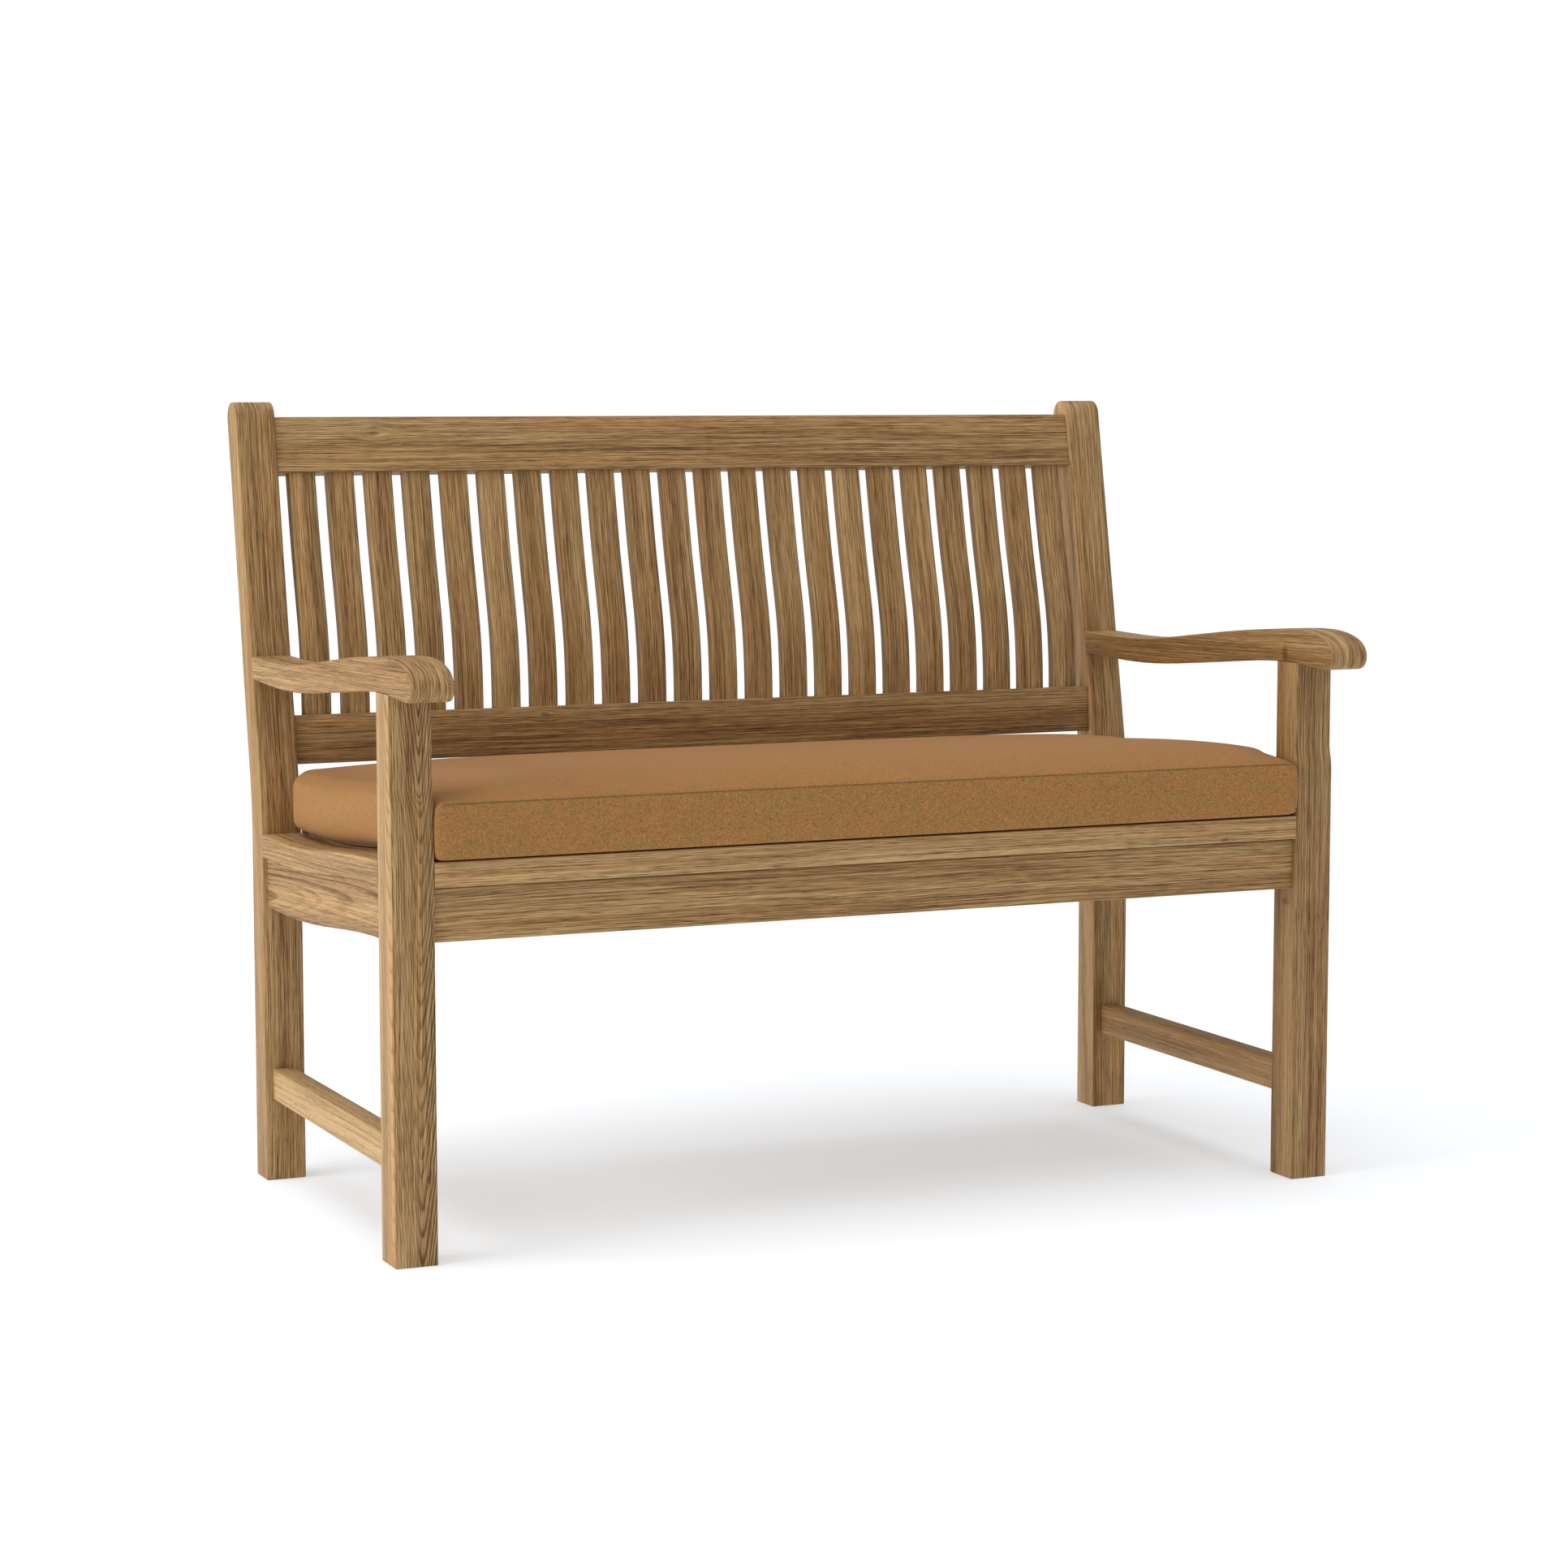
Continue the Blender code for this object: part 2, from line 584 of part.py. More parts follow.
def main():
    clear_scene()
    shop = Workshop()
    legs = make_legs(shop)
    make_arms(shop, legs)
    make_side_frames(shop, legs)
    make_seat_rails(shop, legs)
    make_seat_slats(shop)
    make_back(shop, legs)
    make_cushion(shop)
    colour_parts(shop)


main()
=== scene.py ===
"""Looks of a two-seat teak garden bench with scrolled arms and a loose seat cushion.

Every wooden piece is its CAD node with eased arrises and a solid teak figure cut along its own
grain. The cushion is a stuffed cover, swollen by a cloth simulation, with seams and a zip.
"""

import json
import math
import random

import bmesh
import bpy
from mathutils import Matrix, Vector

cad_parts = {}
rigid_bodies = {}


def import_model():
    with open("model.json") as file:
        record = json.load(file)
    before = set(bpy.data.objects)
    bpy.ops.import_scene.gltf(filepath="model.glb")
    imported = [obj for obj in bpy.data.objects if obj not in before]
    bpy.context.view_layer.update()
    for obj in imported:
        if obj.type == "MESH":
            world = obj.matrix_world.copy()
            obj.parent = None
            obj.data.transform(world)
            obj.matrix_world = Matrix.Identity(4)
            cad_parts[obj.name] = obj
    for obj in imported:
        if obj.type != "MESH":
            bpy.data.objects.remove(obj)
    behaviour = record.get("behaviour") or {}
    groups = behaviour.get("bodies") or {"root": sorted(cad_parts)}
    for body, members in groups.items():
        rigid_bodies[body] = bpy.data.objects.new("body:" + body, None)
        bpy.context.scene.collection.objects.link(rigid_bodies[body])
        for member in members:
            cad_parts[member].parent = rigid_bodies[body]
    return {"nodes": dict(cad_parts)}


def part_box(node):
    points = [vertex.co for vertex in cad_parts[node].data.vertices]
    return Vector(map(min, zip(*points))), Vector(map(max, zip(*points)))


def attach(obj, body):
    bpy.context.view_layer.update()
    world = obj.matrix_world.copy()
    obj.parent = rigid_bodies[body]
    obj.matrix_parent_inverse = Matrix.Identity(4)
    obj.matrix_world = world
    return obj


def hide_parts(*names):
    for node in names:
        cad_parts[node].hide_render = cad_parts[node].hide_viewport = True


for startup in list(bpy.data.objects):
    bpy.data.objects.remove(startup, do_unlink=True)

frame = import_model()
bpy.context.view_layer.update()

# Camera at the photograph's viewing point: metres, radians, and millimetres for lens and sensor
CAMERA_PLACE = (-1.86707, -4.17428, 0.98402)
CAMERA_PITCH = -0.10686
CAMERA_YAW = -0.41917
CAMERA_LENS = 84.93
CAMERA_SENSOR = 36.0

# Eased arrises, by kind of piece: radius in metres
ARRIS = {
    "front_leg": 0.0017,
    "back_leg": 0.0017,
    "arm": 0.0024,
    "side_apron": 0.0015,
    "seat_end_board": 0.0024,
    "side_stretcher": 0.0022,
    "seat_front_strip": 0.0014,
    "front_apron": 0.0012,
    "rear_seat_rail": 0.0022,
    "lower_back_rail": 0.0022,
    "top_back_rail": 0.0022,
    "seat_slat": 0.0022,
    "back_slat": 0.0020,
}
ARRIS_SEGMENTS = 3
WELD_DISTANCE = 0.00002
FLAT_DEGREES = 0.2  # faces that turn less than this from each other are merged
ARRIS_TURN = 0.5  # how far an edge turns at least to be eased, in radians
BOX_MARGIN = 0.0002  # how near the box's side an edge on it lies, in metres
FLAT_SPAN = 0.0001  # how far along x an edge may run and still lie across it, in metres
LEAST_RAIL_EDGE = 0.1  # the shortest edge along a rail that is eased, in metres
LEAST_SHOULDER = 0.012  # the shortest edge of a shoulder against a neighbour, in metres
CRISP_DEGREES = 35  # faces that turn further than this from each other are shaded apart

# Direction of the grain, by kind of piece
GRAIN = {
    "front_leg": (0.0, 0.0, 1.0),
    "back_leg": (0.0, 0.08, 1.0),
    "arm": (0.0, 1.0, -0.03),
    "side_apron": (0.0, 1.0, -0.05),
    "seat_end_board": (0.0, 1.0, -0.05),
    "side_stretcher": (0.0, 1.0, 0.0),
    "seat_front_strip": (1.0, 0.0, 0.0),
    "front_apron": (1.0, 0.0, 0.0),
    "rear_seat_rail": (1.0, 0.0, 0.0),
    "lower_back_rail": (1.0, 0.0, 0.0),
    "top_back_rail": (1.0, 0.0, 0.0),
    "seat_slat": (0.0, 1.0, -0.05),
    "back_slat": (0.0, 0.188, 1.0),
}
UPRIGHT = ("front_leg", "back_leg", "back_slat")

# Colours of the teak from its darkest lines to its palest, by place on the ramp
TEAK_COLOURS = (
    (0.0, (0.100, 0.048, 0.014)),
    (0.28, (0.200, 0.110, 0.037)),
    (0.52, (0.308, 0.183, 0.070)),
    (0.76, (0.415, 0.262, 0.110)),
    (1.0, (0.530, 0.356, 0.168)),
)
TEAK_RUDDY = (1.05, 0.95, 0.86, 1.0)
TEAK_PORE = (0.55, 0.47, 0.38, 1.0)
SIDE_CALM = 0.65  # how much of the fine contrast a board's side faces keep
# Layers of fine figure: cells per metre along the grain and across it, and the noise's detail
GRAIN_LAYERS = {
    "dash": (34.0, 1150.0, 0.0),
    "thread": (7.0, 820.0, 1.0),
    "streak": (2.0, 260.0, 2.0),
    "band": (0.8, 42.0, 2.0),
    "pore": (60.0, 1300.0, 0.0),
}
# How much each part of the figure moves the place on the ramp of colours, and where it starts
TEAK_MIDDLE = 0.585
DASH_TONE = 0.80
THREAD_TONE = 1.35
BAND_TONE = 0.80
STREAK_TONE = 0.60
RING_TONE = 0.34
KNOT_TONE = 0.30
# How far the painted shadow under an overhanging board darkens the board below
OVERHANG_SHADOW_TONE = 0.60
# Boards whose figure is set rather than drawn by lot, in a board's own axes. Their set tones are
# partly painted light and shade, fitted to how bright each board looks: paler boards and side
# faces where light falls on them, and darker inner side faces on the right arm, where shade falls.
FIGURES = {
    "front_leg_left": {
        "Pith": (0.0, 0.010, -0.017),
        "Run-out": (0.0, 0.004, 0.0),
        "Taper": -0.13,
        "Figure": 2.6,
        "Ring": 0.0035,
        "Tone": 0.05,
        "Side light and shade": 0.14,
    },
    "side_apron_left": {
        "Pith": (0.0, 0.024, 0.004),
        "Run-out": (0.0, -0.035, 0.050),
        "Figure": 2.0,
        "Ring": 0.0042,
    },
    "arm_left": {
        "Pith": (0.0, 0.034, -0.012),
        "Run-out": (0.0, 0.012, 0.030),
        "Figure": 0.8,
        "Tone": 0.03,
    },
    "arm_right": {"Tone": 0.05, "Side light and shade": -0.28},
    "back_leg_right": {"Side light and shade": 0.20},
    "front_leg_right": {"Tone": -0.05, "Side light and shade": 0.05},
    "side_stretcher_left": {"Tone": 0.30},
    "seat_front_strip": {"Tone": 0.19, "Tone along": -0.18},
    "front_apron": {"Tone": 0.02},
    "lower_back_rail": {"Tone": -0.03},
    "top_back_rail": {"Tone": -0.01},
}
# Boards with a painted shadow along their top: a dark line where the board above them overhangs
OVERHANG_SHADOWED = ("front_apron",)
# Knots, by board: where each one is and how far it turns the grain, in metres
KNOTS = {
    "top_back_rail": (((-0.430, 0.316, 0.926), 0.011), ((-0.187, 0.311, 0.885), 0.006)),
    "lower_back_rail": (((-0.229, 0.252, 0.5685), 0.008),),
    "arm_right": (((0.5597, -0.2513, 0.6554), 0.010),),
    "seat_front_strip": (((0.459, -0.284, 0.4323), 0.007),),
    "back_slat_02": (((-0.5241, 0.259, 0.599), 0.007),),
    "back_slat_03": (((-0.4714, 0.259, 0.597), 0.007),),
    "side_apron_left": (((-0.604, -0.1935, 0.4335), 0.008),),
    "front_leg_right": (((0.5597, -0.2616, 0.3484), 0.007),),
    "front_leg_left": (((-0.5714, -0.2839, 0.0982), 0.006),),
}

# The seat's curve is the CAD's: its drop, and where it starts behind the front legs' front
SEAT_DROP = 0.0223
SEAT_CURVE_START = 0.050
SEAT_CURVE_LENGTH = 0.370

# Cushion before it is filled, in metres
CUSHION_CELLS = (140, 62, 9)
CUSHION_GAP = 0.0010  # from the seat to its underside
CUSHION_BOXING = 0.0664  # its height at the front seam
CUSHION_GROWTH = 0.0127  # how much taller it is at the rear
START_CROWN = 0.0088  # the crown of its top, carried almost to the ends
MIDDLE_CROWN = 0.0085  # a second crown on it, fuller in the middle
CUSHION_BULGE = 0.024  # how far its ends swell out behind the front legs
BULGE_START, BULGE_RISE = 0.053, 0.060  # where that begins behind the legs' front, and its rise
BULGE_END, BULGE_FALL = 0.004, 0.040  # the same at the rear, measured from the cushion's back
START_INSET = 0.001  # how much of the swelling is left to the filling
TOP_DRAWN_IN = 0.35  # how much of the swelling the ends' top edges lose
FRONT_BULGE = 0.004  # how far its front corners press out against the legs
FRONT_LIFT = 0.0014  # how far its lower front edge stands off the seat
FRONT_DEPTH = 0.012  # how far back those two reach
# Rounds of its edges, in metres
FRONT_ROUND = 0.0050
FRONT_LOWER_ROUND = 0.003
END_ROUND = 0.009
REAR_ROUND = 0.005
REAR_CORNER = 0.014

# Filling
FILLING_FRAMES = 20
MOST_SWELL = 0.008  # the furthest that a point moves, in metres
CLOTH = {
    "quality": 6,
    "mass": 0.25,
    "air_damping": 2.0,
    "tension_stiffness": 18.0,
    "compression_stiffness": 18.0,
    "shear_stiffness": 6.0,
    "bending_stiffness": 1.5,
    "use_pressure": True,
    "uniform_pressure_force": 4.0,
}
FOAM_HOLD = 0.40  # how firmly the foam holds the top in the middle
END_HOLD = 0.80  # and at the ends
SETTLED_GAP = 0.0008  # the least gap to the seat once it is filled
# How far past the front legs' inner faces it may reach, in front of them and beside them
PAST_LEGS, BESIDE_LEGS = 0.0030, -0.0006
IN_FRONT, BEHIND = 0.0008, 0.002  # how far from the legs those two places start and end

# Seams and zip
SEAM_DENT = 0.0008
SEAM_RADIUS = 0.00045
SEAM_CREASE = 0.8
ZIP_PITCH = 0.0018
STITCH_PITCH = 0.0032
ZIP_BAND = (0.30, 0.70)  # the part of the boxing's height that the zip holds still

# Fabric: the pitch of its threads, and how strongly threads of each size in pitches show
THREAD_PITCH = 0.0009
FABRIC_MIDDLE = 0.52
FABRIC_THREADS = (
    (0.34, (1.0, 1.0, 1.0)),
    (0.22, (2.6, 1.0, 1.0)),
    (0.20, (1.0, 2.6, 2.6)),
)
ROW_PITCH = 2.4  # the coarse rows of the ends, in pitches
FABRIC_OLIVE = (0.86, 1.02, 0.98, 1.0)
OLIVE_SHARE = 0.72
FABRIC_COLOURS = (
    (0.0, (0.105, 0.055, 0.018)),
    (0.30, (0.225, 0.118, 0.038)),
    (0.52, (0.350, 0.160, 0.050)),
    (0.75, (0.425, 0.205, 0.070)),
    (1.0, (0.530, 0.290, 0.115)),
)

# Studio
FLOOR_COLOUR = (0.612, 0.642, 0.682, 1.0)
FLOOR_GLOW = 0.42
FLOOR_HALF_SIZE = 60.0
SKY_LIGHT = 0.50
WHITE = (1.0, 1.0, 1.0, 1.0)


def kind_of(name):
    return next(kind for kind in GRAIN if name.startswith(kind))


def linked(obj):
    bpy.context.scene.collection.objects.link(obj)
    return obj


# ---------------------------------------------------------------- node helpers


def feed(tree, socket, value):
    """Links another socket to this one, or sets it to a plain value."""
    if isinstance(value, bpy.types.NodeSocket):
        tree.links.new(value, socket)
    else:
        socket.default_value = value


def add(tree, kind, inputs=None, **settings):
    """A node, with its settings and its inputs: an input is a socket to link or a plain value."""
    node = tree.nodes.new(kind)
    for key, value in settings.items():
        setattr(node, key, value)
    for key, value in (inputs or {}).items():
        feed(tree, node.inputs[key], value)
    return node


def add_group(tree, node_tree, inputs):
    node = tree.nodes.new("ShaderNodeGroup")
    node.node_tree = node_tree
    for key, value in inputs.items():
        feed(tree, node.inputs[key], value)
    return node.outputs


def maths(tree, operation, a, b=0.0, clamp=False):
    made = add(tree, "ShaderNodeMath", {0: a, 1: b}, operation=operation, use_clamp=clamp)
    return made.outputs[0]


def vector(tree, operation, a, b=(0.0, 0.0, 0.0)):
    made = add(tree, "ShaderNodeVectorMath", {0: a, 1: b}, operation=operation)
    return made.outputs["Value" if operation in ("LENGTH", "DOT_PRODUCT") else "Vector"]


def ramp(tree, value, low, high, to_low=0.0, to_high=1.0, smooth=True):
    inputs = {0: value, 1: low, 2: high, 3: to_low, 4: to_high}
    kind = "SMOOTHSTEP" if smooth else "LINEAR"
    return add(tree, "ShaderNodeMapRange", inputs, interpolation_type=kind).outputs[0]


def noise(tree, place, stretch, detail=2.0, roughness=0.5, output="Fac"):
    """Noise whose cells measure 1 / stretch metres along each axis."""
    inputs = {
        "Vector": vector(tree, "MULTIPLY", place, stretch),
        "Scale": 1.0,
        "Detail": detail,
        "Roughness": roughness,
    }
    return add(tree, "ShaderNodeTexNoise", inputs).outputs[output]


def blend_colour(tree, factor, a, b, kind="MIX"):
    made = add(tree, "ShaderNodeMix", data_type="RGBA", blend_type=kind)
    for index, value in ((0, factor), (6, a), (7, b)):
        feed(tree, made.inputs[index], value)
    return made.outputs[2]


def blend_number(tree, factor, a, b):
    made = add(tree, "ShaderNodeMix", {0: factor, 2: a, 3: b}, data_type="FLOAT")
    return made.outputs[0]


def colour_ramp(tree, value, stops):
    """The colour at a place from 0 to 1, between stops of a place and a colour."""
    node = add(tree, "ShaderNodeValToRGB", {0: value})
    elements = node.color_ramp.elements
    while len(elements) < len(stops):
        elements.new(0.5)
    for element, (place, colour) in zip(elements, stops):
        element.position = place
        element.color = (*colour, 1.0)
    return node.outputs[0]


def new_material(name):
    """A material with the socket values of its shader, and its node tree."""
    material = bpy.data.materials.new(name)
    material.use_nodes = True
    tree = material.node_tree
    return material, tree, tree.nodes["Principled BSDF"].inputs


def raise_surface(tree, shader, height, strength):
    """Feeds a height in metres to the shader as bump."""
    inputs = {"Height": height, "Distance": 1.0, "Strength": strength}
    feed(tree, shader["Normal"], add(tree, "ShaderNodeBump", inputs).outputs[0])


def group(name, kind, inputs, outputs):
    """An empty node group with its sockets, and the nodes at its two ends."""
    tree = bpy.data.node_groups.new(name, kind)
    for label, socket, default in inputs:
        made = tree.interface.new_socket(label, in_out="INPUT", socket_type=socket)
        if default is not None:
            made.default_value = default
    for label, socket in outputs:
        tree.interface.new_socket(label, in_out="OUTPUT", socket_type=socket)
    return tree, tree.nodes.new("NodeGroupInput").outputs, tree.nodes.new("NodeGroupOutput").inputs


# ---------------------------------------------------------------- arrises


def compare(tree, operation, a, b):
    made = add(tree, "FunctionNodeCompare", {0: a, 1: b}, operation=operation, data_type="FLOAT")
    return made.outputs[0]


def logic(tree, operation, a, b):
    return add(tree, "FunctionNodeBooleanMath", {0: a, 1: b}, operation=operation).outputs[0]


def arris_group(name, along_x):
    """Marks the edges that a joiner would ease, so that the Bevel after it rounds only those.

    The rims of mortises and housings, and the shoulders that butt against a neighbour, stay crisp.
    """
    inputs = (
        ("Geometry", "NodeSocketGeometry", None),
        ("End direction", "NodeSocketVector", None),
        ("Feet", "NodeSocketBool", False),
    )
    outputs = [("Geometry", "NodeSocketGeometry")]
    tree, given, result = group(name, "GeometryNodeTree", inputs, outputs)
    ends = add(tree, "GeometryNodeInputMeshEdgeVertices").outputs
    delta = vector(tree, "SUBTRACT", ends["Position 2"], ends["Position 1"])
    middle = vector(tree, "SCALE", vector(tree, "ADD", ends["Position 1"], ends["Position 2"]))
    middle.node.inputs["Scale"].default_value = 0.5
    span = add(tree, "ShaderNodeSeparateXYZ", {0: vector(tree, "ABSOLUTE", delta)}).outputs
    at = add(tree, "ShaderNodeSeparateXYZ", {0: middle}).outputs
    turn = add(tree, "GeometryNodeInputMeshEdgeAngle").outputs["Signed Angle"]
    corner = compare(tree, "GREATER_THAN", turn, ARRIS_TURN)
    if along_x:
        long_edge = compare(tree, "GREATER_THAN", span["X"], LEAST_RAIL_EDGE)
        chosen = logic(tree, "AND", corner, long_edge)
    else:
        box = add(tree, "GeometryNodeBoundBox", {"Geometry": given["Geometry"]}).outputs
        low = add(tree, "ShaderNodeSeparateXYZ", {0: box["Min"]}).outputs
        high = add(tree, "ShaderNodeSeparateXYZ", {0: box["Max"]}).outputs
        on_low = compare(tree, "LESS_THAN", at["X"], maths(tree, "ADD", low["X"], BOX_MARGIN))
        limit = maths(tree, "SUBTRACT", high["X"], BOX_MARGIN)
        outer = logic(tree, "OR", on_low, compare(tree, "GREATER_THAN", at["X"], limit))
        length = vector(tree, "LENGTH", delta)
        toward_end = vector(tree, "DOT_PRODUCT", delta, given["End direction"])
        toward_end = maths(tree, "ABSOLUTE", toward_end)
        most = maths(tree, "MULTIPLY", length, 0.75)
        endwise = compare(tree, "GREATER_THAN", toward_end, most)
        long_edge = compare(tree, "GREATER_THAN", length, LEAST_SHOULDER)
        shoulder = logic(tree, "AND", endwise, long_edge)
        chosen = logic(tree, "AND", corner, compare(tree, "LESS_THAN", span["X"], FLAT_SPAN))
        chosen = logic(tree, "AND", chosen, outer)
        chosen = logic(tree, "NIMPLY", chosen, shoulder)
        lowest = compare(tree, "LESS_THAN", at["Z"], maths(tree, "ADD", low["Z"], BOX_MARGIN))
        foot = logic(tree, "AND", logic(tree, "AND", corner, lowest), given["Feet"])
        chosen = logic(tree, "OR", chosen, foot)
    weight = {
        "Geometry": given["Geometry"],
        "Selection": chosen,
        "Name": "bevel_weight_edge",
        "Value": 1.0,
    }
    stored = add(tree, "GeometryNodeStoreNamedAttribute", weight, data_type="FLOAT", domain="EDGE")
    tree.links.new(stored.outputs[0], result["Geometry"])
    return tree


def shading_group():
    """Smooth shading, kept crisp where two faces meet at a sharp turn."""
    sockets = [("Geometry", "NodeSocketGeometry", None)]
    tree, given, result = group("crisp_shading", "GeometryNodeTree", sockets, [sockets[0][:2]])
    turn = add(tree, "GeometryNodeInputMeshEdgeAngle").outputs["Unsigned Angle"]
    sharp = compare(tree, "GREATER_THAN", turn, math.radians(CRISP_DEGREES))
    inputs = {
        "Mesh": given["Geometry"],
        "Remove Custom": True,
        "Edge Sharpness": sharp,
        "Face Sharpness": False,
    }
    normals = add(tree, "GeometryNodeSetMeshNormal", inputs, mode="SHARPNESS")
    tree.links.new(normals.outputs[0], result["Geometry"])
    return tree


def ease(obj, kind, groups):
    """Merges the node's triangles into clean faces, rounds its arrises and shades it."""
    weld = obj.modifiers.new("weld", "WELD")
    weld.merge_threshold = WELD_DISTANCE
    flatten = obj.modifiers.new("flatten", "DECIMATE")
    flatten.decimate_type = "DISSOLVE"
    flatten.angle_limit = math.radians(FLAT_DEGREES)
    mark = obj.modifiers.new("mark_arrises", "NODES")
    along_x = GRAIN[kind][0] == 1.0
    mark.node_group = groups["along_x" if along_x else "across_x"]
    if not along_x:
        sockets = {item.name: item.identifier for item in mark.node_group.interface.items_tree}
        mark[sockets["End direction"]] = (0.0, 1.0, 0.0) if kind in UPRIGHT else (0.0, 0.0, 1.0)
        mark[sockets["Feet"]] = kind in ("front_leg", "back_leg")
    bevel = obj.modifiers.new("ease", "BEVEL")
    bevel.limit_method = "WEIGHT"
    bevel.width = ARRIS[kind]
    bevel.segments = ARRIS_SEGMENTS
    bevel.use_clamp_overlap = False
    shade = obj.modifiers.new("shade", "NODES")
    shade.node_group = groups["shading"]


# ---------------------------------------------------------------- teak


def knot_group():
    """Grain that parts round a knot, in a board's own axes, and a mark for the knot's heart."""
    inputs = (
        ("Board", "NodeSocketVector", None),
        ("Centre", "NodeSocketVector", None),
        ("Radius", "NodeSocketFloat", 0.010),
    )
    outputs = (("Board", "NodeSocketVector"), ("Mark", "NodeSocketFloat"))
    tree, given, result = group("teak_knot", "ShaderNodeTree", inputs, outputs)
    away = vector(tree, "SUBTRACT", given["Board"], given["Centre"])
    oval = vector(tree, "MULTIPLY", away, (0.45, 1.0, 0.25))
    share = maths(tree, "DIVIDE", vector(tree, "LENGTH", oval), given["Radius"])
    squared = maths(tree, "MULTIPLY", share, share)
    pull = maths(tree, "EXPONENT", maths(tree, "MULTIPLY", squared, -1.0))
    pulled = add(tree, "ShaderNodeVectorMath", {0: away, "Scale": pull}, operation="SCALE")
    pulled = vector(tree, "MULTIPLY", pulled.outputs[0], (-0.25, 0.80, 0.0))
    tree.links.new(vector(tree, "SUBTRACT", given["Board"], pulled), result["Board"])
    tree.links.new(ramp(tree, share, 0.12, 0.42, 1.0, 0.0), result["Mark"])
    return tree


def teak_group():
    """The figure of teak in a board's own axes, in metres: x along the grain, y toward a side face
    and z through the board.

    Side is 1 on the board's side faces and 0 on the rest, where the lines keep to planes along the
    board, so that they carry on round a curved edge.
    """
    inputs = (
        ("Board", "NodeSocketVector", None),
        ("Side", "NodeSocketFloat", 0.0),
        ("Shift", "NodeSocketVector", None),
        ("Pith", "NodeSocketVector", None),
        ("Run-out", "NodeSocketVector", None),
        ("Taper", "NodeSocketFloat", 0.0),
        ("Tone", "NodeSocketFloat", 0.0),
        ("Tone along", "NodeSocketFloat", 0.0),
        ("Side light and shade", "NodeSocketFloat", 0.0),
        ("Figure", "NodeSocketFloat", 1.0),
        ("Ring", "NodeSocketFloat", 0.0026),
    )
    outputs = (
        ("Colour", "NodeSocketColor"),
        ("Roughness", "NodeSocketFloat"),
        ("Height", "NodeSocketFloat"),
    )
    tree, given, result = group("teak_figure", "ShaderNodeTree", inputs, outputs)
    board = given["Board"]
    shifted = vector(tree, "ADD", board, given["Shift"])

    def centred(stretch, reach):
        lumps = noise(tree, shifted, stretch, 1.0, output="Color")
        even = vector(tree, "SUBTRACT", lumps, (0.5, 0.5, 0.5))
        return vector(tree, "MULTIPLY", even, (0.0, reach, reach))

    slow, quick = centred((1.6, 5.0, 5.0), 0.012), centred((7.0, 28.0, 28.0), 0.0012)
    wander = vector(tree, "ADD", slow, quick)
    grown = add(tree, "ShaderNodeSeparateXYZ", {0: vector(tree, "ADD", board, wander)}).outputs
    slopes = add(tree, "ShaderNodeSeparateXYZ", {0: given["Run-out"]}).outputs
    pith = add(tree, "ShaderNodeSeparateXYZ", {0: given["Pith"]}).outputs

    def off_pith(axis):
        run = maths(tree, "MULTIPLY", grown["X"], slopes[axis])
        away = maths(tree, "SUBTRACT", maths(tree, "SUBTRACT", grown[axis], pith[axis]), run)
        return maths(tree, "MULTIPLY", away, away)

    radius = maths(tree, "SQRT", maths(tree, "ADD", off_pith("Y"), off_pith("Z")))
    radius = maths(tree, "ADD", radius, maths(tree, "MULTIPLY", grown["X"], given["Taper"]))
    strip = add(tree, "ShaderNodeCombineXYZ", {0: given["Tone"], 1: radius}).outputs[0]
    uneven = maths(tree, "MULTIPLY", noise(tree, strip, (10.0, 75.0, 1.0), 1.0), 2.6)
    years = maths(tree, "ADD", maths(tree, "DIVIDE", radius, given["Ring"]), uneven)
    years = maths(tree, "FRACT", years)
    darkening, ending = ramp(tree, years, 0.45, 0.90), ramp(tree, years, 0.91, 1.0)
    ring = maths(tree, "SUBTRACT", darkening, ending, clamp=True)
    patch = ramp(tree, noise(tree, shifted, (1.4, 24.0, 24.0), 1.0), 0.35, 0.65, 0.25, 1.0)
    ring = maths(tree, "MULTIPLY", maths(tree, "MULTIPLY", ring, patch), given["Figure"])
    calm = ramp(tree, given["Side"], 0.0, 1.0, 1.0, SIDE_CALM)
    ring = maths(tree, "MULTIPLY", ring, calm)

    swum = add(tree, "ShaderNodeSeparateXYZ", {0: vector(tree, "ADD", shifted, wander)}).outputs
    across = blend_number(tree, given["Side"], swum["Y"], swum["Z"])
    through = blend_number(tree, given["Side"], swum["Z"], swum["Y"])
    through = maths(tree, "MULTIPLY", through, 0.05)
    flow = add(tree, "ShaderNodeCombineXYZ", {0: swum["X"], 1: across, 2: through}).outputs[0]
    layers = {}
    for label, (along, beside, detail) in GRAIN_LAYERS.items():
        layers[label] = noise(tree, flow, (along, beside, beside), detail)
    pore = ramp(tree, layers["pore"], 0.56, 0.68)
    pore = maths(tree, "MULTIPLY", pore, ramp(tree, layers["thread"], 0.30, 0.65, 1.0, 0.35))
    pore = maths(tree, "MULTIPLY", pore, calm)

    def swing(label, share):
        return maths(tree, "MULTIPLY", maths(tree, "SUBTRACT", layers[label], 0.5), share)

    fine = maths(tree, "ADD", swing("dash", DASH_TONE), swing("thread", THREAD_TONE))
    value = maths(tree, "ADD", given["Tone"], TEAK_MIDDLE)
    # Painted light and shade: the side-face term below makes a board's side faces lighter or
    # darker, standing in for how the lamps fall on them
    for part in (
        maths(tree, "MULTIPLY", grown["X"], given["Tone along"]),
        maths(tree, "MULTIPLY", given["Side"], given["Side light and shade"]),
        maths(tree, "MULTIPLY", fine, calm),
        swing("band", BAND_TONE),
        swing("streak", STREAK_TONE),
    ):
        value = maths(tree, "ADD", value, part)
    value = maths(tree, "SUBTRACT", value, maths(tree, "MULTIPLY", ring, RING_TONE))

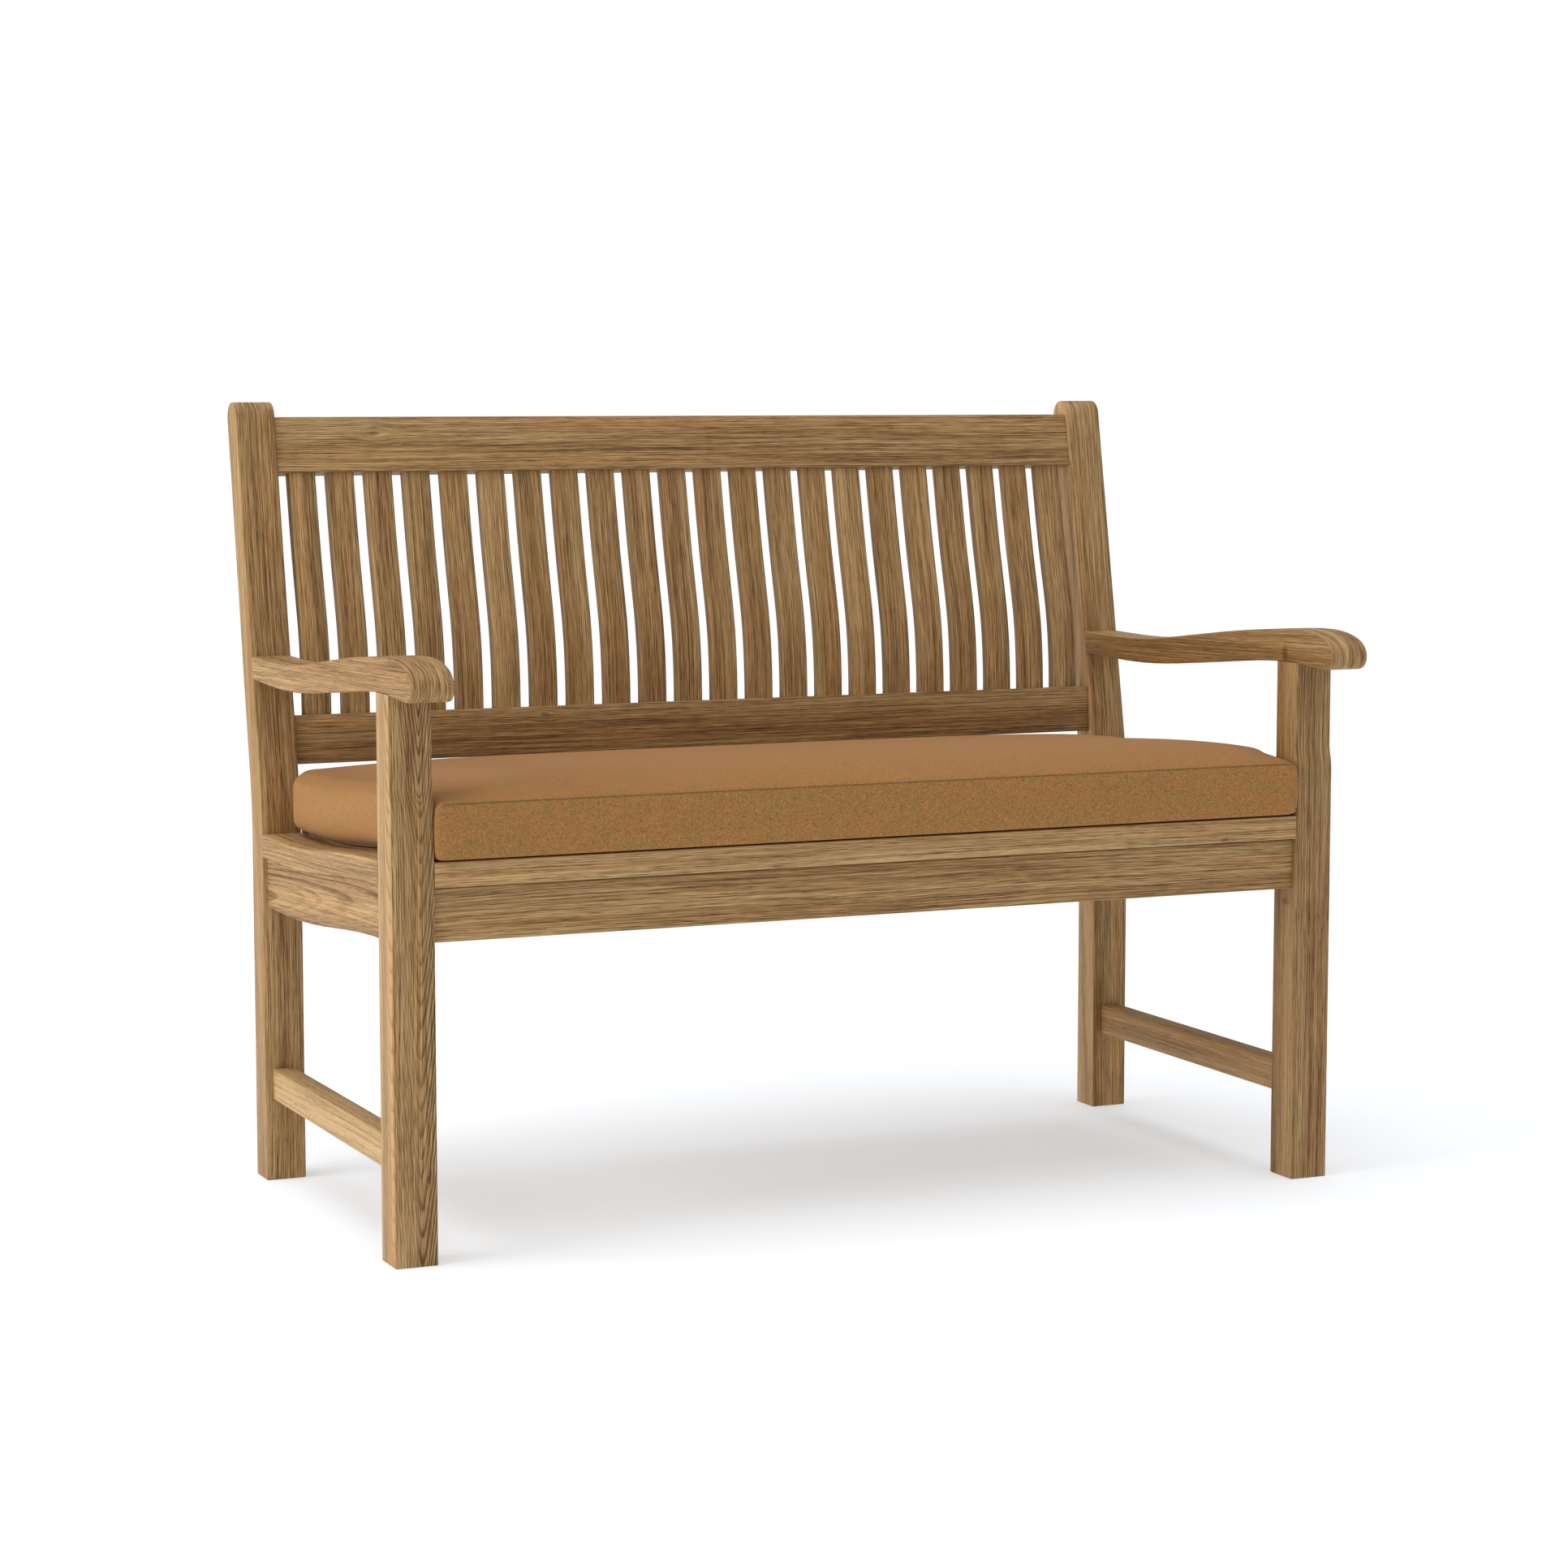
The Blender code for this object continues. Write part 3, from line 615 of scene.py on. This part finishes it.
    plain = colour_ramp(tree, value, TEAK_COLOURS)
    ruddy = ramp(tree, noise(tree, shifted, (1.1, 45.0, 45.0), 2.0), 0.38, 0.68)
    warm = blend_colour(tree, 1.0, plain, TEAK_RUDDY, "MULTIPLY")
    colour = blend_colour(tree, ruddy, plain, warm)
    dark = blend_colour(tree, 1.0, colour, TEAK_PORE, "MULTIPLY")
    colour = blend_colour(tree, maths(tree, "MULTIPLY", pore, 0.9), colour, dark)

    rough = maths(tree, "ADD", 0.50, maths(tree, "MULTIPLY", layers["streak"], 0.14))
    rough = maths(tree, "ADD", rough, maths(tree, "MULTIPLY", pore, 0.20))
    height = maths(tree, "MULTIPLY", layers["dash"], 0.00010)
    height = maths(tree, "SUBTRACT", height, maths(tree, "MULTIPLY", pore, 0.00018))
    height = maths(tree, "SUBTRACT", height, maths(tree, "MULTIPLY", ring, 0.00006))
    tree.links.new(colour, result["Colour"])
    tree.links.new(rough, result["Roughness"])
    tree.links.new(height, result["Height"])
    return tree


def board_axes(kind):
    """The grain's direction, the direction that the board's side faces look in, and the third."""
    grain = Vector(GRAIN[kind]).normalized()
    side = Vector((0, 0, 1)) if abs(grain.x) > 0.9 else Vector((1, 0, 0))
    return grain, side, grain.cross(side)


def teak_material(name, kind, figure_group, knots):
    """One board's material: the shared figure, seen along this board's grain."""
    luck = random.Random(name)
    low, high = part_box(name)
    middle = (low + high) / 2
    axes = board_axes(kind)
    material, tree, shader = new_material("teak_" + name)
    coordinates = add(tree, "ShaderNodeTexCoord").outputs
    centred = vector(tree, "SUBTRACT", coordinates["Object"], tuple(middle))
    along = [vector(tree, "DOT_PRODUCT", centred, tuple(axis)) for axis in axes]
    board = add(tree, "ShaderNodeCombineXYZ", dict(enumerate(along))).outputs[0]
    facing = vector(tree, "DOT_PRODUCT", coordinates["Normal"], tuple(axes[1]))
    facing = maths(tree, "ABSOLUTE", facing)

    far = luck.uniform(0.055, 0.130) * luck.choice((-1, 1))
    settings = {
        "Shift": [luck.uniform(0.0, 6.0) for _ in range(3)],
        "Pith": (0.0, far, luck.uniform(-0.035, 0.035)),
        "Run-out": (0.0, luck.uniform(-0.010, 0.010), luck.uniform(-0.05, 0.05)),
        "Tone": luck.uniform(-0.045, 0.045),
        "Figure": luck.uniform(0.55, 1.0),
        "Ring": luck.uniform(0.0021, 0.0032),
    }
    settings.update(FIGURES.get(name, {}))
    tone = settings.pop("Tone")
    for place, radius in KNOTS.get(name, ()):
        offset = Vector(place) - middle
        centre = tuple(offset.dot(axis) for axis in axes)
        knot = add_group(tree, knots, {"Board": board, "Centre": centre, "Radius": radius})
        board = knot["Board"]
        tone = maths(tree, "SUBTRACT", tone, maths(tree, "MULTIPLY", knot["Mark"], KNOT_TONE))

    # Painted shadow: a dark line just under this board's top, standing in for the shade under the
    # board that overhangs it
    if name in OVERHANG_SHADOWED:
        place = add(tree, "ShaderNodeSeparateXYZ", {0: coordinates["Object"]}).outputs["Z"]
        below = maths(tree, "SUBTRACT", high.z, place)
        line = ramp(tree, below, 0.0015, 0.0025, OVERHANG_SHADOW_TONE, 0.0)
        tone = maths(tree, "SUBTRACT", tone, line)

    inputs = {"Board": board, "Side": ramp(tree, facing, 0.60, 0.90), "Tone": tone}
    figure = add_group(tree, figure_group, {**settings, **inputs})
    feed(tree, shader["Base Color"], figure["Colour"])
    feed(tree, shader["Roughness"], figure["Roughness"])
    raise_surface(tree, shader, figure["Height"], 0.8)
    shader["Specular IOR Level"].default_value = 0.30
    return material


def finish_wood():
    groups = {
        "along_x": arris_group("arrises_along_x", True),
        "across_x": arris_group("arrises_across_x", False),
        "shading": shading_group(),
    }
    figure_group = teak_group()
    knots = knot_group()
    for name, obj in sorted(frame["nodes"].items()):
        if name.startswith("cushion"):
            continue
        kind = kind_of(name)
        ease(obj, kind, groups)
        obj.material_slots[0].material = teak_material(name, kind, figure_group, knots)


# ---------------------------------------------------------------- cushion


def smoothstep(value):
    value = min(max(value, 0.0), 1.0)
    return value * value * (3.0 - 2.0 * value)


class Seat:
    """Where the cushion's neighbours are, read from the CAD."""

    def __init__(self):
        self.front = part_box("front_leg_left")[0].y
        self.legs_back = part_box("front_leg_left")[1].y
        self.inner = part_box("front_leg_right")[0].x
        self.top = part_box("seat_front_strip")[1].z

    def height(self, y):
        share = (y - self.front - SEAT_CURVE_START) / SEAT_CURVE_LENGTH
        return self.top - SEAT_DROP * smoothstep(share)


def rounded(a, b, radius):
    """Puts a point near an edge on a round of that radius: a and b are its depths in two faces."""
    u, v = radius - a, radius - b
    if u <= 0.0 or v <= 0.0:
        return a, b
    shrink = max(u, v) / math.hypot(u, v)
    return radius - u * shrink, radius - v * shrink


def cushion_point(seat, low, high, u, v, w):
    """A point of the cushion before it is filled: u and v run from -1 to 1, and w from 0 to 1."""
    back, front = high.y, low.y
    deep = back - front
    y = (front + back) / 2 + v * deep / 2
    swell = smoothstep((y - seat.front - BULGE_START) / BULGE_RISE)
    swell *= smoothstep((back + BULGE_END - y) / BULGE_FALL)
    reach = high.x - CUSHION_BULGE
    drawn_in = (TOP_DRAWN_IN if w > 0.5 else 1.0) * (2 * w - 1) ** 8
    half = reach - START_INSET * swell + CUSHION_BULGE * swell * (1 - drawn_in)
    edge = CUSHION_BOXING + CUSHION_GROWTH * (1 - ((1 - v) / 2) ** (5 - u**4))
    fall = 8 if v < 0 else 6
    puff = (START_CROWN * (1 - u**10) + MIDDLE_CROWN * (1 - u**4)) * (1 - v**fall)
    bottom = seat.height(y) + CUSHION_GAP
    height = edge + puff - CUSHION_GAP
    z, near = w * height, y - front
    half += FRONT_BULGE * (1 - smoothstep(near / FRONT_DEPTH)) * (1 - (2 * w - 1) ** 2)
    x = abs(u) * half
    a, b = rounded(half - x, height - z, END_ROUND)
    x, z = half - a, height - b
    a, z = rounded(half - x, z, FRONT_ROUND)
    a, near = rounded(a, near, FRONT_ROUND)
    a, far = rounded(a, deep - near, REAR_CORNER * (0.4 + 0.6 * w))
    x = half - a
    far, z = rounded(far, z, REAR_ROUND)
    far, b = rounded(far, height - z, REAR_ROUND)
    z = height - b
    near, z = rounded(deep - far, z, FRONT_LOWER_ROUND)
    z += FRONT_LIFT * (1 - smoothstep(near / FRONT_DEPTH)) * (1 - w) ** 2
    return Vector((math.copysign(x, u), front + near, bottom + z))


def cushion_start(seat):
    """The cushion before it is filled: a closed grid on the CAD cover, a little smaller.

    Returns its bmesh and the vertex at each step along x, y and z.
    """
    low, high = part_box("cushion_cover")
    cells = CUSHION_CELLS
    shape = bmesh.new()
    grid = {}
    for i in range(cells[0] + 1):
        for j in range(cells[1] + 1):
            for k in range(cells[2] + 1):
                if 0 < i < cells[0] and 0 < j < cells[1] and 0 < k < cells[2]:
                    continue
                place = 2 * i / cells[0] - 1, 2 * j / cells[1] - 1, k / cells[2]
                grid[i, j, k] = shape.verts.new(cushion_point(seat, low, high, *place))
    faces = []
    for a, b, c in ((0, 1, 2), (1, 2, 0), (2, 0, 1)):
        for level in (0, cells[c]):
            for m in range(cells[a]):
                for n in range(cells[b]):
                    corners = []
                    for dm, dn in ((0, 0), (1, 0), (1, 1), (0, 1)):
                        key = [0, 0, 0]
                        key[a], key[b], key[c] = m + dm, n + dn, level
                        corners.append(grid[tuple(key)])
                    faces.append(shape.faces.new(corners))
    bmesh.ops.recalc_face_normals(shape, faces=faces)
    shape.verts.index_update()
    index = {key: vertex.index for key, vertex in grid.items()}
    return shape, index


def seam_rows(index):
    """The long edges of the cushion's top and bottom, as vertices of its grid."""
    long, deep, tall = CUSHION_CELLS
    edges = {
        "front_top": (0, tall),
        "rear_top": (deep, tall),
        "front_bottom": (0, 0),
        "rear_bottom": (deep, 0),
    }
    return {label: [index[i, j, k] for i in range(long + 1)] for label, (j, k) in edges.items()}


def held_weights(index, rows):
    """How firmly each vertex stays put while the cushion fills.

    The seat, the seams and the zip hold it, and the foam inside keeps the top near its shape.
    """
    long, deep, tall = CUSHION_CELLS
    weights = {}
    for i in range(long + 1):
        along = 2 * i / long - 1
        for j in range(deep + 1):
            weights[index[i, j, tall]] = FOAM_HOLD + (END_HOLD - FOAM_HOLD) * along**8
    for label, path in rows.items():
        fade = 5.0 if label.startswith("front") else 14.0
        for i, n in enumerate(path):
            held = smoothstep((long / 2 - abs(i - long / 2)) / fade)
            weights[n] = max(held, FOAM_HOLD)
    for i in range(long + 1):
        for j in range(deep + 1):
            weights[index[i, j, 0]] = 1.0
        for k in range(tall + 1):
            if ZIP_BAND[0] < k / tall < ZIP_BAND[1]:
                weights[index[i, deep, k]] = 1.0
    return weights


def inflate(obj, weights):
    """Fills the cushion: pressure swells the cloth between its seams and the seat below it."""
    held = obj.vertex_groups.new(name="held")
    for n, weight in sorted(weights.items()):
        held.add([n], weight, "REPLACE")
    cloth = obj.modifiers.new("filling", "CLOTH")
    for key, value in CLOTH.items():
        setattr(cloth.settings, key, value)
    cloth.settings.vertex_group_mass = held.name
    cloth.settings.effector_weights.gravity = 0.0
    cloth.collision_settings.use_collision = False
    scene = bpy.context.scene
    scene.frame_start, scene.frame_end = 1, FILLING_FRAMES
    for step in range(1, FILLING_FRAMES + 1):
        scene.frame_set(step)
    graph = bpy.context.evaluated_depsgraph_get()
    swollen = [vertex.co.copy() for vertex in obj.evaluated_get(graph).data.vertices]
    obj.modifiers.remove(cloth)
    obj.vertex_groups.remove(held)
    scene.frame_set(1)
    for vertex, place in zip(obj.data.vertices, swollen):
        move = place - vertex.co
        if move.length > MOST_SWELL:
            move = move.normalized() * MOST_SWELL
        vertex.co += move


def settle(obj, seat):
    """Keeps the filled cushion on the seat and clear of the front legs."""
    for vertex in obj.data.vertices:
        co = vertex.co
        co.z = max(co.z, seat.height(co.y) + SETTLED_GAP)
        if co.y < seat.legs_back + BEHIND:
            spare = PAST_LEGS if co.y < seat.front - IN_FRONT else BESIDE_LEGS
            co.x = math.copysign(min(abs(co.x), seat.inner + spare), co.x)


def tube(name, points, radius):
    """A thread or wire of that radius through the points, with closed ends."""
    curve = bpy.data.curves.new(name, "CURVE")
    curve.dimensions = "3D"
    curve.bevel_depth = radius
    curve.bevel_resolution = 1
    curve.use_fill_caps = True
    spline = curve.splines.new("POLY")
    spline.points.add(len(points) - 1)
    for point, place in zip(spline.points, points):
        point.co = (*place, 1.0)
    return linked(bpy.data.objects.new(name, curve))


def fabric_material(name):
    """A heathered plain weave: orange and brown threads with olive flecks among them."""
    material, tree, shader = new_material(name)
    coordinates = add(tree, "ShaderNodeTexCoord").outputs
    facing = vector(tree, "ABSOLUTE", coordinates["Normal"])
    look = add(tree, "ShaderNodeSeparateXYZ", {0: facing}).outputs
    weights = {axis: ramp(tree, look[axis], 0.45, 0.80) for axis in "XYZ"}
    sway = noise(tree, coordinates["Object"], (11.0, 11.0, 11.0), 1.0, output="Color")
    sway = vector(tree, "SUBTRACT", sway, (0.5, 0.5, 0.5))
    sway = vector(tree, "MULTIPLY", sway, (0.003, 0.003, 0.003))
    place = vector(tree, "ADD", coordinates["Object"], sway)
    parts = add(tree, "ShaderNodeSeparateXYZ", {0: place}).outputs
    waves = {}
    for axis in "XYZ":
        turns = maths(tree, "MULTIPLY", parts[axis], math.pi / THREAD_PITCH)
        waves[axis] = maths(tree, "SINE", turns)
    weave = 0.0
    for axis, (a, b) in (("X", "YZ"), ("Y", "XZ"), ("Z", "XY")):
        crossing = maths(tree, "MULTIPLY", waves[a], waves[b])
        weave = maths(tree, "ADD", maths(tree, "MULTIPLY", crossing, weights[axis]), weave)
    turns = maths(tree, "MULTIPLY", parts["Z"], 2 * math.pi / (ROW_PITCH * THREAD_PITCH))
    rows = maths(tree, "MULTIPLY", maths(tree, "SINE", turns), weights["X"])

    value = FABRIC_MIDDLE
    for share, size in FABRIC_THREADS:
        snapped = vector(tree, "SNAP", place, tuple(side * THREAD_PITCH for side in size))
        inputs = {"Vector": snapped}
        thread = add(tree, "ShaderNodeTexWhiteNoise", inputs, noise_dimensions="3D").outputs[0]
        part = maths(tree, "MULTIPLY", maths(tree, "SUBTRACT", thread, 0.5), share)
        value = maths(tree, "ADD", part, value)
    calm = maths(tree, "ADD", maths(tree, "MULTIPLY", weights["Y"], 0.50), 0.50)
    value = maths(tree, "MULTIPLY", maths(tree, "SUBTRACT", value, FABRIC_MIDDLE), calm)
    value = maths(tree, "ADD", value, FABRIC_MIDDLE)
    value = maths(tree, "ADD", value, maths(tree, "MULTIPLY", rows, 0.10))
    plain = colour_ramp(tree, value, FABRIC_COLOURS)
    patch = ramp(tree, noise(tree, place, (60.0, 60.0, 75.0), 3.0), 0.42, 0.66)
    patch = maths(tree, "MULTIPLY", patch, OLIVE_SHARE)
    olive = blend_colour(tree, 1.0, plain, FABRIC_OLIVE, "MULTIPLY")
    feed(tree, shader["Base Color"], blend_colour(tree, patch, plain, olive))
    fuzz = noise(tree, place, (1100.0, 1100.0, 1100.0), 1.0)
    height = maths(tree, "MULTIPLY", weave, 0.00008)
    height = maths(tree, "ADD", height, maths(tree, "MULTIPLY", fuzz, 0.00008))
    height = maths(tree, "ADD", height, maths(tree, "MULTIPLY", rows, 0.00005))
    raise_surface(tree, shader, height, 0.6)
    feed(tree, shader["Roughness"], ramp(tree, fuzz, 0.2, 0.8, 0.82, 0.95))
    shader["Specular IOR Level"].default_value = 0.15
    shader["Sheen Weight"].default_value = 0.06
    shader["Sheen Roughness"].default_value = 0.45
    return material


def plain_material(name, colour, roughness, grain, depth):
    """A small part's material: its colour and roughness vary over lumps of 1 / grain metres."""
    material, tree, shader = new_material(name)
    place = add(tree, "ShaderNodeTexCoord").outputs["Object"]
    lumps = noise(tree, place, (grain, grain, grain), 2.0)
    low, high = (tuple(channel * share for channel in colour) for share in (0.75, 1.3))
    feed(tree, shader["Base Color"], blend_colour(tree, lumps, (*low, 1.0), (*high, 1.0)))
    rough = ramp(tree, lumps, 0.2, 0.8, roughness - 0.08, roughness + 0.08)
    feed(tree, shader["Roughness"], rough)
    raise_surface(tree, shader, maths(tree, "MULTIPLY", lumps, depth), 0.6)
    return material


def blocks(shape, centres, size, taper):
    """Adds blocks to a bmesh: each stands on the cushion's rear face and narrows as it rises."""
    x, y, z = size[0] / 2, size[1], size[2] / 2
    corners = ((-x, -z), (x, -z), (x, z), (-x, z))
    for left, base, up in centres:
        rings = []
        for height, share in ((0.0, 1.0), (0.6 * y, 1.0), (y, taper)):
            ring = [(left + a * share, base + height, up + b * share) for a, b in corners]
            rings.append([shape.verts.new(corner) for corner in ring])
        for low, high in zip(rings, rings[1:]):
            for n in range(4):
                shape.faces.new((low[n], low[n - 1], high[n - 1], high[n]))
        shape.faces.new(rings[0])
        shape.faces.new(rings[-1][::-1])


def slab(shape, outline, y, thickness):
    """Adds a flat piece to a bmesh: the outline's x and z, from y to y + thickness."""
    near = [shape.verts.new((a, y, b)) for a, b in outline]
    far = [shape.verts.new((a, y + thickness, b)) for a, b in outline]
    for n in range(len(outline)):
        shape.faces.new((near[n], near[n - 1], far[n - 1], far[n]))
    shape.faces.new(near)
    shape.faces.new(far[::-1])


def pill(centre, length, width, count=6):
    """The outline of a strip with round ends, in x and z."""
    outline = []
    for end in (1, -1):
        for n in range(count + 1):
            turn = math.pi * (n / count - 0.5)
            x = end * (length / 2 - width / 2 + math.cos(turn) * width / 2)
            outline.append((centre[0] + x, centre[1] + end * math.sin(turn) * width / 2))
    return outline


def zip_piece(name, shape, material, bevel=0.0):
    """One piece of the zip, riding with the cushion."""
    bmesh.ops.recalc_face_normals(shape, faces=shape.faces)
    mesh = bpy.data.meshes.new(name)
    shape.to_mesh(mesh)
    shape.free()
    piece = linked(bpy.data.objects.new(name, mesh))
    if bevel:
        ease_edges = piece.modifiers.new("ease", "BEVEL")
        ease_edges.width = bevel
        ease_edges.segments = 2
        ease_edges.limit_method = "ANGLE"
        mesh.shade_smooth()
        ease_edges.harden_normals = True
    mesh.materials.append(material)
    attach(piece, "cushion")
    return piece


def make_zip():
    """The zip in the rear boxing: two tapes, their teeth, a slider, its puller and stitching."""
    low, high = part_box("cushion_zip")
    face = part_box("cushion_cover")[1].y
    middle = (low.z + high.z) / 2
    half = (high.z - low.z) / 2
    woven = plain_material("zip_tape", (0.075, 0.042, 0.020), 0.85, 1400.0, 0.0002)
    nylon = plain_material("zip_nylon", (0.060, 0.034, 0.016), 0.35, 600.0, 0.00003)
    enamel = plain_material("zip_slider_enamel", (0.050, 0.030, 0.016), 0.28, 300.0, 0.00002)

    shape = bmesh.new()
    for side in (-1, 1):
        inner, outer = 0.0008 * side, half * side
        outline = ((low.x, inner), (high.x, inner), (high.x, outer), (low.x, outer))
        slab(shape, [(x, middle + z) for x, z in outline], face - 0.0006, 0.0011)
    tape = zip_piece("zip_tape", shape, woven)
    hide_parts("cushion_zip")

    shape = bmesh.new()
    count = int((high.x - low.x - 0.012) / ZIP_PITCH)
    places = [low.x + 0.006 + (n + 0.5) * ZIP_PITCH for n in range(count)]
    heights = [middle + (0.0007 if n % 2 else -0.0007) for n in range(count)]
    centres = [(x, face + 0.0003, z) for x, z in zip(places, heights)]
    blocks(shape, centres, (ZIP_PITCH * 0.72, 0.0012, 0.0036), 0.6)
    zip_piece("zip_teeth", shape, nylon)

    shape = bmesh.new()
    at = high.x - 0.024
    wide = [(-0.0065, -0.0030), (-0.0015, -0.0044), (0.0060, -0.0044)]
    body = [(at + x, middle + z) for x, z in wide]
    body += [(at + x, middle - z) for x, z in wide[::-1]]
    slab(shape, body, face + 0.0004, 0.0024)
    slab(shape, pill((at + 0.0005, middle), 0.0095, 0.0024), face + 0.0024, 0.0014)
    slab(shape, pill((at - 0.0135, middle), 0.0250, 0.0052), face + 0.0017, 0.0012)
    zip_piece("zip_slider", shape, enamel, 0.0004)

    shape = bmesh.new()
    count = int((high.x - low.x - 0.008) / STITCH_PITCH)
    places = [low.x + 0.004 + (n + 0.5) * STITCH_PITCH for n in range(count)]
    for side in (-1, 1):
        line = middle + side * (half - 0.0022)
        centres = [(x, face + 0.00035, line) for x in places]
        blocks(shape, centres, (STITCH_PITCH * 0.68, 0.0005, 0.0006), 0.7)
    thread = plain_material("stitching", (0.20, 0.115, 0.040), 0.8, 900.0, 0.0001)
    zip_piece("zip_stitching", shape, thread)


def make_seams(points, material):
    for label in ("front_top", "rear_top"):
        seam = tube("seam_" + label, points[label], SEAM_RADIUS)
        seam.data.materials.append(material)
        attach(seam, "cushion")


def make_cushion():
    seat = Seat()
    shape, index = cushion_start(seat)
    rows = seam_rows(index)
    crease = shape.edges.layers.float.new("crease_edge")
    sewn = {n for path in rows.values() for n in path[2:-2]}
    for edge in shape.edges:
        if all(vertex.index in sewn for vertex in edge.verts):
            edge[crease] = SEAM_CREASE
    mesh = bpy.data.meshes.new("seat_cushion")
    shape.to_mesh(mesh)
    shape.free()
    cushion = linked(bpy.data.objects.new("seat_cushion", mesh))
    inflate(cushion, held_weights(index, rows))
    settle(cushion, seat)
    for label, inward in (("front_top", 1.0), ("rear_top", -1.0)):
        for n in rows[label][2:-2]:
            mesh.vertices[n].co += Vector((0.0, inward, -1.0)) * SEAM_DENT
    mesh.shade_smooth()
    fine = cushion.modifiers.new("smooth", "SUBSURF")
    fine.levels = fine.render_levels = 1
    mesh.materials.append(fabric_material("cushion_fabric_woven"))
    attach(cushion, "cushion")
    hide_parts("cushion_cover", "cushion_foam")

    graph = bpy.context.evaluated_depsgraph_get()
    smooth = cushion.evaluated_get(graph).data.vertices
    points = {label: [smooth[n].co.copy() for n in path[1:-1]] for label, path in rows.items()}
    thread = plain_material("seam_thread", (0.135, 0.078, 0.024), 0.85, 900.0, 0.0001)
    make_seams(points, thread)


# ---------------------------------------------------------------- studio


def make_camera():
    data = bpy.data.cameras.new("camera")
    data.sensor_fit = "HORIZONTAL"
    data.sensor_width = CAMERA_SENSOR
    data.lens = CAMERA_LENS
    camera = linked(bpy.data.objects.new("camera", data))
    camera.location = CAMERA_PLACE
    camera.rotation_euler = (math.pi / 2 + CAMERA_PITCH, 0.0, CAMERA_YAW)
    bpy.context.scene.camera = camera


def area_light(name, place, aim, size, power, colour):
    data = bpy.data.lights.new(name, "AREA")
    data.shape = "RECTANGLE"
    data.size, data.size_y = size
    data.energy = power
    data.color = colour
    light = linked(bpy.data.objects.new(name, data))
    light.location = place
    light.rotation_euler = (Vector(aim) - Vector(place)).to_track_quat("-Z", "Y").to_euler()


def sun(name, toward, strength, spread):
    data = bpy.data.lights.new(name, "SUN")
    data.energy = strength
    data.angle = math.radians(spread)
    light = linked(bpy.data.objects.new(name, data))
    light.rotation_euler = Vector(toward).to_track_quat("-Z", "Y").to_euler()


def make_studio():
    """A pale glowing floor in a white room, a soft overhead light and a soft key from the left."""
    mesh = bpy.data.meshes.new("floor")
    shape = bmesh.new()
    bmesh.ops.create_grid(shape, x_segments=1, y_segments=1, size=FLOOR_HALF_SIZE)
    shape.to_mesh(mesh)
    shape.free()
    floor = linked(bpy.data.objects.new("floor", mesh))
    material, _, shader = new_material("floor_paper")
    shader["Base Color"].default_value = FLOOR_COLOUR
    shader["Roughness"].default_value = 0.9
    shader["Specular IOR Level"].default_value = 0.0
    shader["Emission Color"].default_value = WHITE
    shader["Emission Strength"].default_value = FLOOR_GLOW
    mesh.materials.append(material)

    world = bpy.data.worlds.new("studio")
    world.use_nodes = True
    bpy.context.scene.world = world
    tree = world.node_tree
    backdrop = tree.nodes["Background"].inputs
    backdrop["Color"].default_value = WHITE
    eye = add(tree, "ShaderNodeLightPath").outputs["Is Camera Ray"]
    feed(tree, backdrop["Strength"], ramp(tree, eye, 0.0, 1.0, SKY_LIGHT, 1.0, smooth=False))

    sun("overhead", toward=(0.10, 0.06, -1.0), strength=1.45, spread=60.0)
    area_light(
        "key_left",
        place=(-4.6, -0.3, 1.9),
        aim=(0.0, 0.0, 0.6),
        size=(3.0, 3.4),
        power=132.0,
        colour=(1.0, 0.98, 0.94),
    )
    bpy.context.scene.view_settings.view_transform = "Standard"


finish_wood()
make_cushion()
make_zip()
make_studio()
make_camera()
